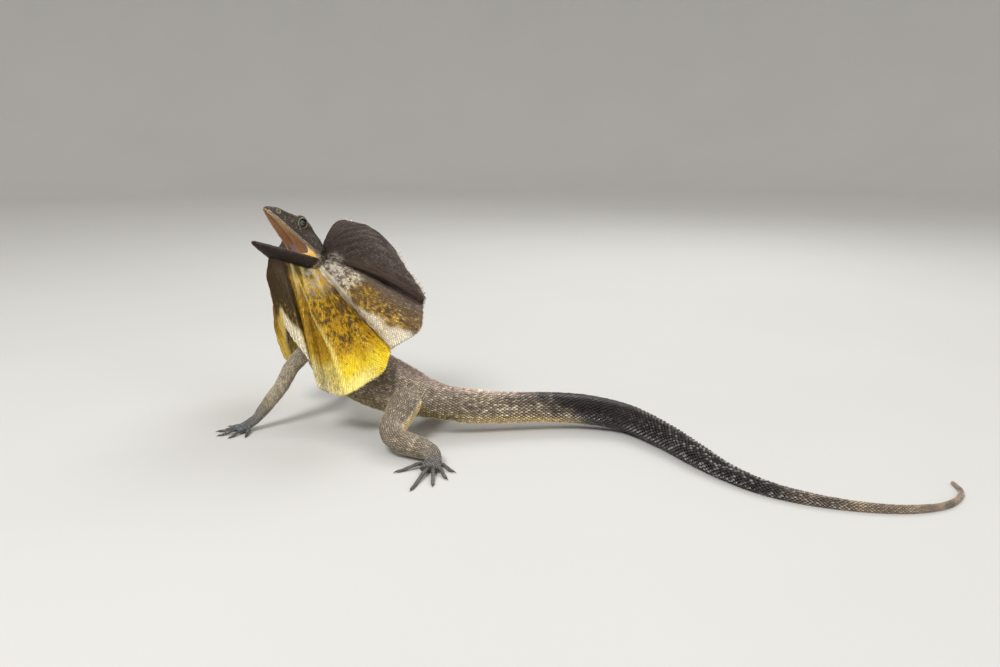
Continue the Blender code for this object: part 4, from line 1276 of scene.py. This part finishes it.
def lip_scales(seats, place_at, rows, up, length, colour, chart_row):
    """The row of larger plates along a lip, set closer toward the tip."""
    for sign in (1, -1):
        hs = []
        h = 2.0
        while h < rows[-2][0]:
            hs.append(h)
            h += length * (1.0 - 0.3 * h / 50)
        hs = np.array(hs)
        place = place_at(hs, lip_out(rows, hs) * sign, up)
        kept, spots, normals = settle(place, np.tile(LEFT * sign, (len(hs), 1)), 3.0)
        tint = vary_tint(plain(colour, len(kept)), 61 + chart_row, 0.3)
        marks.append((spots, tint))
        chart = np.stack((hs[kept] / 60, np.full(len(kept), 0.9 + 0.02 * chart_row + 0.01 * sign)), axis=1)
        seats.add(spots, np.tile(-AHEAD, (len(kept), 1)), normals,
                  vec(length * 1.02, length * 0.75, 1.0), tint, chart)


lip_scales(head_seats, at_head, HEAD_ROWS, 0.7, 1.9, LIP_PLATE, 0)
lip_scales(head_seats, at_jaw, JAW_ROWS, -2.3, 2.0, CHIN_PLATE, 1)


# Inside of the mouth: the same skin, coloured

def lining(place_at, outline, _, last, reach, tint_of):
    """Marks for the skin inside the mouth, where no scales grow."""
    for t in np.linspace(0, last, 60):
        h, points = section(outline, t, np.linspace(*reach, 40))
        p = place_at(h, *points.T)
        marks.append((p, tint_of(p, h, points)))


def palate_tint(p, h, points):
    share = np.abs(points[:, 0]) / lip_out(HEAD_ROWS, h)
    streak = noise(p * vec(1.0, 1.0, 0.35), 2.2, 73)
    tint = paint(
        plain(PALATE, len(p)),
        (PALATE_DEEP, smooth((share - 0.50) / 0.2) * 0.9),
        (PALATE_DEEP, np.full(len(p), smooth((h - 30) / 16) * 0.8)),
        (PALATE_SHADE, window(share, 0.46, 0.56, 0.08) * 0.8),
        (PALATE_SHADE, window(h, 15, 22, 2) * window(np.abs(points[:, 0]), 1.6, 2.5, 0.6) * 0.9),
        (LILAC, smooth((11 - h) / 4) * window(share, 0.35, 0.95, 0.3) * 0.8))
    return tint * (1 + 0.12 * streak)[:, None]


def floor_tint(p, h, points):
    tint = plain(MOUTH_FLOOR, len(p))
    return tint * (1 + 0.15 * noise(p, 3, 72))[:, None]


for tip in (at_head(SNOUT_TIP[0], 0.0, SNOUT_TIP[1] + 0.3), at_jaw(CHIN_TIP[0], 0.0, CHIN_TIP[1] - 0.2)):
    around = tip + np.random.default_rng(5).normal(0, 0.7, (40, 3))
    marks.append((around, plain(HEAD_BROWN, 40)))
lining(*HEAD_FORM, (6.6, 11.4), palate_tint)
lining(*JAW_FORM, (-2.4, 2.4), floor_tint)
for (place_at, outline, _, last), lip_at in ((HEAD_FORM, (6.0, 12.0)), (JAW_FORM, (3.0, 11.0))):
    for t in np.linspace(0, last, 90):
        h, points = section(outline, t, lip_at)
        p = place_at(h, *points.T)
        marks.append((p, plain(LIP_PALE, 2)))


def tint_skin():
    """Each point of the skin takes the mean colour of the nearest marks, a little darker."""
    places = np.concatenate([m[0] for m in marks])
    tints = np.concatenate([m[1] for m in marks])
    tree = kdtree.KDTree(len(places))
    for i, p in enumerate(places):
        tree.insert(p, i)
    tree.balance()
    result = np.empty((len(skin_points), 3))
    for i, p in enumerate(skin_points):
        found = tree.find_n(p, 3)
        weight = np.array([1 / (d + 0.2) for _, _, d in found])
        result[i] = weight @ tints[[k for _, k, _ in found]] / weight.sum()
    return result


set_tint(skin.data, tint_skin() * 0.75)
FLESH_NODES = [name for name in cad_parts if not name.startswith(("frill_", "eye_", "tongue"))]
place_on_body(skin, "body_skin", *FLESH_NODES)


# Scales are set out by one geometry-node tree from their seats

PATCH = 0.003                    # width of each scale's patch on the baking map


def scale_shape(name, outline, crown, floor=-0.18):
    """A small closed plate: outline points x, y, z, tone and crown points joined over it. The tone is painted
    light: above 1 a highlight on keel and tip, below 1 shade at root and edges.
    """
    painted_light_tones = [p[3] for p in outline] + [p[3] for p in crown] + [0.8]
    verts = [vec(*p[:3]) for p in outline] + [vec(*p[:3]) for p in crown] + [vec(0.0, 0.0, floor)]
    n, c = len(outline), len(crown)
    faces = []
    for k in range(n):
        a, b = k, (k + 1) % n
        near = [n + min(range(c), key=lambda j: np.linalg.norm(verts[i] - verts[n + j])) for i in (a, b)]
        if near[0] == near[1]:
            faces.append((a, b, near[0]))
        else:
            faces.append((a, b, near[1]))
            faces.append((a, near[1], near[0]))
        faces.append((b, a, n + c))
    mesh = bpy.data.meshes.new(name)
    mesh.from_pydata([tuple(v) for v in verts], [], faces)
    mesh.shade_flat()
    mesh.attributes.new("tone", "FLOAT", "POINT").data.foreach_set("value", painted_light_tones)
    spot = mesh.uv_layers.new(name="spot")
    for loop in mesh.loops:
        p = mesh.vertices[loop.vertex_index].co
        spot.data[loop.index].uv = (p.x * 0.7 + 0.5, p.y * 0.9 + 0.5)
    return new_object(name, mesh)


# fourth value of each point is painted light: above 1 a highlight on keel and tip, below 1 shade at root and
# edges
KEELED = scale_shape(
    "keeled_scale",
    ((-0.48, 0, -0.05, 0.75), (-0.15, -0.46, 0.02, 0.70), (0.28, -0.36, 0.10, 0.85),
     (0.62, 0, 0.20, 1.35), (0.28, 0.36, 0.10, 0.85), (-0.15, 0.46, 0.02, 0.70)),
    ((-0.12, 0, 0.22, 1.15), (0.34, 0, 0.36, 1.50)))
GRANULE = scale_shape(
    "granular_scale",
    ((-0.5, 0, 0, 0.75), (-0.25, -0.44, 0, 0.75), (0.25, -0.44, 0.04, 0.85), (0.5, 0, 0.08, 1.0),
     (0.25, 0.44, 0.04, 0.85), (-0.25, 0.44, 0, 0.75)),
    ((0.05, 0, 0.34, 1.45),))
SPINE_SCALE = scale_shape(
    "margin_spine",
    ((-0.35, -0.42, -0.05, 0.6), (0.2, -0.36, 0.0, 0.9), (1.0, 0, 0.02, 1.4), (0.2, 0.36, 0.0, 0.9),
     (-0.35, 0.42, -0.05, 0.6)),
    ((-0.1, 0, 0.32, 0.9), (0.45, 0, 0.22, 1.3)), floor=-0.32)


def scatter_tree(shape, material):
    """Sets a shape on every point, turned and sized by its attributes, as one real mesh."""
    tree = bpy.data.node_groups.new("set_" + shape.name, "GeometryNodeTree")
    sockets = [tree.interface.new_socket(title, in_out=way, socket_type="NodeSocket" + kind)
               for title, way, kind in (
                   ("Geometry", "INPUT", "Geometry"), ("Scale Growth", "INPUT", "Float"),
                   ("Patch Width", "INPUT", "Float"), ("Geometry", "OUTPUT", "Geometry"))]
    start, end = add(tree, "NodeGroupInput"), add(tree, "NodeGroupOutput")
    source = add(tree, "GeometryNodeObjectInfo", Object=shape)
    turn, size, chart, spot = (
        add(tree, "GeometryNodeInputNamedAttribute", data_type="FLOAT_VECTOR", Name=title)
        for title in ("turn", "size", "chart", "spot"))
    rotation = add(tree, "FunctionNodeEulerToRotation")
    grown, shrunk = (add(tree, "ShaderNodeVectorMath", operation="SCALE") for _ in range(2))
    setter = add(tree, "GeometryNodeInstanceOnPoints")
    realize = add(tree, "GeometryNodeRealizeInstances")
    centred = add(tree, "ShaderNodeVectorMath", operation="SUBTRACT")
    centred.inputs[1].default_value = (0.5, 0.5, 0.0)
    placed = add(tree, "ShaderNodeVectorMath", operation="ADD")
    bake = add(tree, "GeometryNodeStoreNamedAttribute", data_type="FLOAT2", domain="CORNER", Name="OFBake")
    finish = add(tree, "GeometryNodeSetMaterial", Material=material)
    wire(tree,
         (start, "Geometry", setter, "Points"), (source, "Geometry", setter, "Instance"),
         (turn, "Attribute", rotation, "Euler"), (rotation, "Rotation", setter, "Rotation"),
         (size, "Attribute", grown, 0), (start, "Scale Growth", grown, "Scale"),
         (grown, "Vector", setter, "Scale"), (setter, "Instances", realize, "Geometry"),
         (realize, "Geometry", bake, "Geometry"), (spot, "Attribute", centred, 0),
         (centred, "Vector", shrunk, 0), (start, "Patch Width", shrunk, "Scale"),
         (shrunk, "Vector", placed, 0), (chart, "Attribute", placed, 1),
         (placed, "Vector", bake, "Value"), (bake, "Geometry", finish, "Geometry"),
         (finish, "Geometry", end, "Geometry"))
    return tree, sockets[1].identifier, sockets[2].identifier


def lay_scales(name, seats, shape, material, slot, growth=1.0):
    """One coat piece: every seat gets a scale that lies along the skin."""
    place, lie, normal, size, tint, chart = seats.joined()
    z = unit(normal)
    x = unit(lie - z * np.sum(lie * z, axis=1, keepdims=True))
    y = np.cross(z, x)
    turn = np.stack((np.arctan2(y[:, 2], z[:, 2]), -np.arcsin(np.clip(x[:, 2], -1, 1)),
                     np.arctan2(x[:, 1], x[:, 0])), axis=1)
    mesh = bpy.data.meshes.new(name)
    mesh.from_pydata([tuple(p) for p in to_metres(place)], [], [])
    for key, values in (("turn", turn), ("size", size * MM),
                        ("chart", np.pad(0.01 + 0.98 * chart, ((0, 0), (0, 1))))):
        layer = mesh.attributes.new(key, "FLOAT_VECTOR", "POINT")
        layer.data.foreach_set("vector", values.astype(float).ravel())
    set_tint(mesh, tint)
    obj = new_object(name, mesh)
    tree, growth_id, patch_id = scatter_tree(shape, material)
    setter = obj.modifiers.new("scales", "NODES")
    setter.node_group = tree
    setter[growth_id] = growth
    setter[patch_id] = PATCH
    mesh = apply_modifiers(obj)
    spots = points_of(mesh)
    spots[:, 2] = np.maximum(spots[:, 2], 0.0)
    mesh.vertices.foreach_set("co", spots.ravel())
    mesh.update()
    for key in ("turn", "size", "chart", "spot"):
        layer = mesh.attributes.get(key)
        if layer:
            mesh.attributes.remove(layer)
    place_on_body(obj, slot)
    return obj


for part, seats, shape, material, slot in (
        ("trunk", trunk_seats, KEELED, SCALE_FINISH, "body_skin"),
        ("tail", tail_seats, KEELED, TAIL_SCALE_FINISH, "tail_dark"),
        ("arms", arm_seats, KEELED, SCALE_FINISH, "limb_skin"),
        ("legs", leg_seats, KEELED, SCALE_FINISH, "limb_skin"),
        ("head", head_seats, GRANULE, HEAD_SCALE_FINISH, "head_skin")):
    lay_scales("scales_" + part, seats, shape, material, slot)


# Frill sheet and its scales

FRILL_COLUMNS, FRILL_ROWS = 540, 46
FRILL_PITCH = 1.72               # mm between scales of the display side
MEAN_RIB = 112.0                 # mm, sets how far apart the rows lie
SPINE_RISE = 62.0                # degrees by which the hood's spines stand off the sheet
SPINE_GREY = (0.42, 0.37, 0.32)
# step along the margin, first place, length on the hood and length elsewhere
SPINE_RANKS = ((4.6, 1.0, 4.6, 1.5), (4.6, 3.3, 2.9, 1.1), (2.3, 0.0, 1.0, 0.9))


def frill_sheet():
    """The pleated sheet, both sides and its rim, as one closed piece."""
    s = np.repeat(np.linspace(0, LAST_RIB, FRILL_COLUMNS), FRILL_ROWS)
    v = np.tile(np.linspace(0, 1, FRILL_ROWS), FRILL_COLUMNS) * margin(s)
    verts, tints = [], []
    for side in (1, -1):
        p = sheet_surface(s, v, side)[0]
        verts.append(p)
        tints.append(frill_tint(s, v, p, side) * 0.85)
    return make_object("frill", np.concatenate(verts), slab_faces(FRILL_COLUMNS, FRILL_ROWS),
                       FRILL_FINISH, np.concatenate(tints))


frill = frill_sheet()
place_on_body(frill, "frill_skin", *[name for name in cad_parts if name.startswith("frill_")])


def frill_seats(span, side, pitch, seed):
    """Rows of seats across the sheet, each row set half a step from the last."""
    seats = Seats()
    v, row = 0.012, 0
    middle = (span[0] + span[1]) / 2
    while v < 0.985:
        fine_s = np.linspace(span[0], span[1], 900)
        line = sheet_point(fine_s, np.full(900, v))
        length = run_length(line)
        step = pitch * (0.62 + 0.38 * smooth(v * 2.2))
        anchor = np.interp(middle, fine_s, length) + 0.5 * step * (row % 2)
        spots = np.arange(anchor % step, length[-1], step)
        s = np.interp(spots, length, fine_s)
        s = s[v < margin(s) - 0.004]
        if len(s):
            vs = np.full(len(s), v)
            p, n = sheet_surface(s, vs, side)
            lie = sheet_point(s, np.minimum(vs + 0.02, 1)) - sheet_point(s, vs)
            vary = jitter(len(s), seed + row, 0.12)
            sizes = np.stack((step * 1.22 * vary, step * 0.86 * vary, step * 0.66 * vary), axis=1)
            chart = np.stack(((s - span[0]) / (span[1] - span[0]), vs), axis=1)
            tint = vary_tint(frill_tint(s, vs, p, side), seed + row, 0.18)
            own = own_rib(s)
            lucky = np.random.default_rng(seed + 50 + row).random(len(s)) ** 3
            tint = paint(tint, (PALE_GREY, lucky * smooth((7.5 - own) / 1.5) * 0.18))
            seats.add(p, lie, n, sizes, tint, chart)
        v += step * 0.86 / MEAN_RIB
        row += 1
    return seats


for half, side, pitch, seed in (("left", 1, FRILL_PITCH, 100), ("right", 1, FRILL_PITCH, 200),
                                ("inside_left", -1, FRILL_PITCH * 1.4, 300),
                                ("inside_right", -1, FRILL_PITCH * 1.4, 400)):
    span = (0.05, THROAT_RIB) if half.endswith("left") else (THROAT_RIB, LAST_RIB - 0.05)
    lay_scales("scales_frill_" + half, frill_seats(span, side, pitch, seed),
               KEELED, FRILL_SCALE_FINISH, "frill_skin")


def margin_spines():
    """Pale pointed scales that stand out round the frill's edge, tall and wide apart on the hood."""
    seats = Seats()
    fine_s = np.linspace(0, LAST_RIB, 4000)
    line = sheet_point(fine_s, margin(fine_s))
    length = run_length(line)
    for step, shift, reach_hood, reach_rest in SPINE_RANKS:
        s = np.interp(np.arange(1.0 + shift, length[-1] - 1.0, step), length, fine_s)
        v = margin(s) - 0.004
        top, normal = sheet_surface(s, v, 1)
        middle = (top + sheet_surface(s, v, -1)[0]) / 2
        out = sheet_point(s, np.ones(len(s))) - sheet_point(s, np.full(len(s), 0.97))
        own = own_rib(s)
        hood = smooth((5.2 - own) / 1.0)
        along = np.gradient(middle, axis=0)
        out = unit(out - unit(along) * np.sum(out * unit(along), axis=1)[:, None])
        rise = np.radians(SPINE_RISE) * hood
        upright = out * np.cos(rise)[:, None] + normal * np.sin(rise)[:, None]
        normal = normal * np.cos(rise)[:, None] - out * np.sin(rise)[:, None]
        reach_here = reach_rest + 0.9 * smooth((7.6 - own) / 0.8)
        reach = (reach_here + (reach_hood - reach_here) * hood) * jitter(len(s), 7 + len(s), 0.15)
        sizes = np.stack((reach, 0.9 + 0.50 * reach, 0.5 + 0.30 * reach), axis=1)
        tint = paint(plain(SPINE_GREY, len(s)), (PALE_LEMON, window(own, 8.8, 12.6, 0.6) * 0.7))
        tint = vary_tint(tint, 8, 0.2)
        chart = np.stack((s / LAST_RIB, 0.2 + 0.1 * step + 0 * s), axis=1)
        seats.add(middle, upright, normal, sizes, tint, chart)
    return seats


lay_scales("margin_spines", margin_spines(), SPINE_SCALE, FRILL_SCALE_FINISH, "frill_skin")
for shape in (KEELED, GRANULE, SPINE_SCALE):
    bpy.data.objects.remove(shape, do_unlink=True)


# Eyes, tongue, teeth, mouth webs and claws

PUPIL = 1.25                     # radii of pupil and iris on the eye's surface
IRIS = 2.55
EYE_BLACK = (0.004, 0.004, 0.005)
IRIS_INNER = (0.16, 0.18, 0.19)
IRIS_OUTER = (0.055, 0.062, 0.070)
EYE_RIM = (0.030, 0.028, 0.026)


def make_eye(name, sign):
    """Eyeball with a clear bulge at the front, its rings set in its own surface."""
    centre = on_side(EYE_AT, sign)
    gaze = unit(LEFT * sign + AHEAD * 0.12 - UP * 0.02)
    side = unit(np.cross(gaze, UP))
    top = np.cross(side, gaze)
    verts, faces = ball(centre, (side, top, gaze), (EYE_RADIUS,) * 3, 96, 64)
    verts = np.array(verts)
    out = (verts - centre) @ gaze
    rho = np.linalg.norm(verts - centre - out[:, None] * gaze, axis=1)
    verts = verts + gaze * (np.where(out > 0, 0.35 * smooth((2.9 - rho) / 2.2), 0))[:, None]
    rays = noise(verts, 0.5, 81)
    front = out > 0
    tint = paint(
        plain(EYE_RIM, len(verts)),
        (IRIS_OUTER, front * smooth((IRIS - rho) / 0.25)),
        (IRIS_INNER, front * window(rho, PUPIL, 2.15, 0.5) * (0.85 + 0.3 * rays)),
        (EYE_BLACK, front * smooth((PUPIL + 0.1 - rho) / 0.2)))
    eye = make_object(name, verts, faces, EYE_FINISH, tint)
    place_on_body(eye, "eye", name)


make_eye("eye_left", 1)
make_eye("eye_right", -1)

TONGUE_AT = (22.0, 0.0, -4.4)
TONGUE_SIZE = (17.0, 6.4, 2.8)


def make_tongue():
    """Thick fleshy tongue with a groove along it and a rounded, slightly notched tip."""
    ahead = unit(at_jaw(1, 0, 0) - at_jaw(0, 0, 0))
    up = unit(at_jaw(0, 0, 1) - at_jaw(0, 0, 0))
    verts, faces = ball(at_jaw(*TONGUE_AT), (LEFT, up, ahead),
                        (TONGUE_SIZE[1], TONGUE_SIZE[2], TONGUE_SIZE[0]), 60, 48)
    verts = np.array(verts)
    local = verts - at_jaw(*TONGUE_AT)
    across, height, forward = local @ LEFT, local @ up, local @ ahead
    groove = np.exp(-(across / 0.9) ** 2) * smooth((height + 0.5) / 1.5)
    verts = verts - up * (0.55 * groove)[:, None]
    verts = verts - ahead * (1.2 * np.exp(-(across / 1.0) ** 2) * smooth((forward - 12) / 4))[:, None]
    verts = verts + up * (0.15 * noise(verts, 1.1, 82))[:, None]
    tint = paint(plain(TONGUE_PINK, len(verts)), (TONGUE_PALE, smooth(0.5 + noise(verts, 1.6, 83)) * 0.5))
    tongue = make_object("tongue_flesh", verts, faces, WET_FINISH, tint)
    place_on_body(tongue, "mouth", "tongue")


make_tongue()


def cone(root, tip, radius, bend, count=8, steps=5):
    """A tapered, bent point, as points and faces."""
    way = tip - root
    side = unit(np.cross(way, bend))
    rings = []
    turn = turns(count)[:, None]
    for i in range(steps):
        f = i / steps
        centre = root + way * f + bend * 4 * f * (1 - f)
        ahead = unit(way + bend * 4 * (1 - 2 * f))
        top = np.cross(side, ahead)
        wide = radius * (1 - f) ** 0.8
        rings.append(centre + (side * np.cos(turn) * 0.8 + top * np.sin(turn)) * wide)
    return loft(rings, end=tip)


def make_teeth():
    """One row of small pointed teeth just inside each lip, the upper ones larger toward the front."""
    shapes = []
    for place_at, rows, up, rise in ((at_head, HEAD_ROWS, -0.3, -1.2), (at_jaw, JAW_ROWS, -1.4, 1.2)):
        for sign in (1, -1):
            for h in np.arange(12.0, rows[-2][0] - 0.5, 1.45):
                lip = lip_out(rows, h)
                inside = max(lip - LIP * 0.75, lip * 0.55) * sign
                size = 0.7 + 0.5 * smooth((h - 44) / 4) * (place_at is at_head)
                root = place_at(h, inside, up)
                tip = place_at(h - 0.2, inside * 0.98, up + rise * size)
                shapes.append(cone(root, tip, 0.36, LEFT * sign * 0.05, 6, 3))
    verts, faces = gather(shapes)
    tint = plain(TOOTH_IVORY, len(verts))
    teeth = make_object("teeth", verts, faces, HORN_FINISH, tint)
    place_on_body(teeth, "mouth")


make_teeth()
WEB_REACH = 14.0                 # how far forward of the mouth's corner the skin web runs


def make_webs():
    """Yellow skin stretched between the lips at each corner of the mouth, folded and hollow in front."""
    shapes, tints = [], []
    rows, columns = 22, 26
    for sign in (1, -1):
        sides = []
        for thick in (-0.35, 0.35):
            grid = []
            for i in range(columns):
                f = i / (columns - 1)
                h = -3.0 + f * (WEB_REACH + 2.0)
                for j in range(rows):
                    g = j / (rows - 1)
                    hollow = 1.0 - 0.45 * f * 4 * g * (1 - g)
                    reach = -3.0 + (h + 3.0) * hollow
                    wide_top = lip_out(HEAD_ROWS, reach) - 1.4
                    wide_low = lip_out(JAW_ROWS, reach) - 1.4
                    fold = 0.35 * math.sin(g * 9.0 + 2.0 * f) - 1.2 * 4 * g * (1 - g) * f
                    top = at_head(reach, 0.0, 0.3)
                    low = at_jaw(reach, 0.0, -1.8)
                    out = (wide_top * (1 - g) + wide_low * g + fold + thick) * sign
                    grid.append(top * (1 - g) + low * g + LEFT * out)
            sides.append(grid)
        shapes.append((sides[0] + sides[1], slab_faces(columns, rows)))
        p = np.array(shapes[-1][0])
        depth = in_head(p)[:, 0]
        tint = paint(
            plain(WEB_YELLOW, len(p)),
            (WEB_PALE, smooth(0.5 + noise(p, 2.5, 84)) * 0.7),
            (WEB_LILAC, smooth((depth - 8.5) / 3.0) * 0.55))
        tints.append(tint)
    verts, faces = gather(shapes)
    webs = make_object("mouth_webs", verts, faces, WET_FINISH, np.concatenate(tints))
    place_on_body(webs, "mouth")


make_webs()


def make_claws(name):
    """Five hooked claws of one hand or foot."""
    shapes = []
    thick = HAND_THICK if "hand" in name else FOOT_THICK
    for _, root, way in toes[name]:
        start = vec(root[0], root[1], 0.82 * thick)
        tip = start + way * (3.6 if "hand" in name else 4.4)
        tip[2] = 0.3
        shapes.append(cone(start, tip, 0.50 * thick, UP_Z * 0.28, 10, 9))
    verts, faces = gather(shapes)
    p = np.array(verts)
    tint = paint(plain(CLAW_DARK, len(p)), (CLAW_TIP, smooth((1.0 - p[:, 2]) / 0.9) * 0.7))
    claws = make_object("claws_" + name, verts, faces, HORN_FINISH, tint)
    place_on_body(claws, "limb_skin")


for name in LIMBS:
    make_claws(name)


# Floor, light and camera

def studio_material():
    mat, tree, shader = shader_nodes("studio_floor", Roughness=0.85)
    place = add(tree, "ShaderNodeTexCoord")
    grain = add(tree, "ShaderNodeTexNoise", Scale=3.0, Detail=2.0)
    tone = add(tree, "ShaderNodeMix", data_type="RGBA",
               A=(0.56, 0.555, 0.54, 1), B=(0.60, 0.595, 0.58, 1))
    wire(tree, (place, "Object", grain, "Vector"), (grain, "Fac", tone, "Factor"),
         (tone, "Result", shader, "Base Color"))
    return mat


def sweep():
    """Round pale floor that curves up into a low wall far from the animal."""
    flat, radius, steps, count = 3.0, 1.0, 16, 96
    profile = [(flat - 1.0, 0.0), (flat, 0.0)]
    for k in range(1, steps + 1):
        a = math.pi / 2 * k / steps
        profile.append((flat + radius * math.sin(a), radius * (1 - math.cos(a))))
    profile.append((flat + radius, 2.2))
    turn = turns(count)
    verts = [(r * math.cos(a), r * math.sin(a), z) for r, z in profile for a in turn]
    faces = [tuple(range(count))]
    for i in range(len(profile) - 1):
        for k in range(count):
            n = (k + 1) % count
            faces.append((i * count + k, (i + 1) * count + k, (i + 1) * count + n, i * count + n))
    mesh = bpy.data.meshes.new("floor")
    mesh.from_pydata(verts, [], faces)
    mesh.shade_smooth()
    mesh.materials.append(studio_material())
    return mesh


floor = new_object("floor", sweep())


def soft_light(name, place, target, width, power):
    lamp = bpy.data.lights.new(name, "AREA")
    obj = new_object(name, set_up(lamp, shape="DISK", size=width, energy=power))
    obj.location = place
    obj.rotation_euler = (Vector(target) - Vector(place)).to_track_quat("-Z", "Y").to_euler()


MIDDLE = (-0.10, 0.02, 0.07)
soft_light("key", (-0.7, -0.9, 1.5), MIDDLE, 0.7, 20.0)
soft_light("fill", (1.2, -1.0, 0.7), MIDDLE, 1.0, 6.0)
soft_light("back", (0.4, 1.1, 1.2), MIDDLE, 0.8, 9.0)

world = bpy.data.worlds.new("studio")
bpy.context.scene.world = world
world.use_nodes = True
set_up(world.node_tree.nodes["Background"], Color=(1.0, 0.975, 0.93, 1), Strength=0.75)

CAMERA_HEIGHT = 250.0            # mm above the floor
CAMERA_BACK = 720.0              # mm in front of the animal's own origin
CAMERA_DIP = 12.9225             # degrees below level
camera_data = bpy.data.cameras.new("camera")
camera = new_object("camera", set_up(camera_data, sensor_width=36.0, lens=32.4,
                                     clip_start=0.01, clip_end=60.0))
camera.location = to_metres(vec(0.0, -CAMERA_BACK, CAMERA_HEIGHT))
camera.rotation_euler = (math.radians(90 - CAMERA_DIP), 0, 0)
bpy.context.scene.camera = camera
bpy.context.scene.view_settings.view_transform = "Standard"
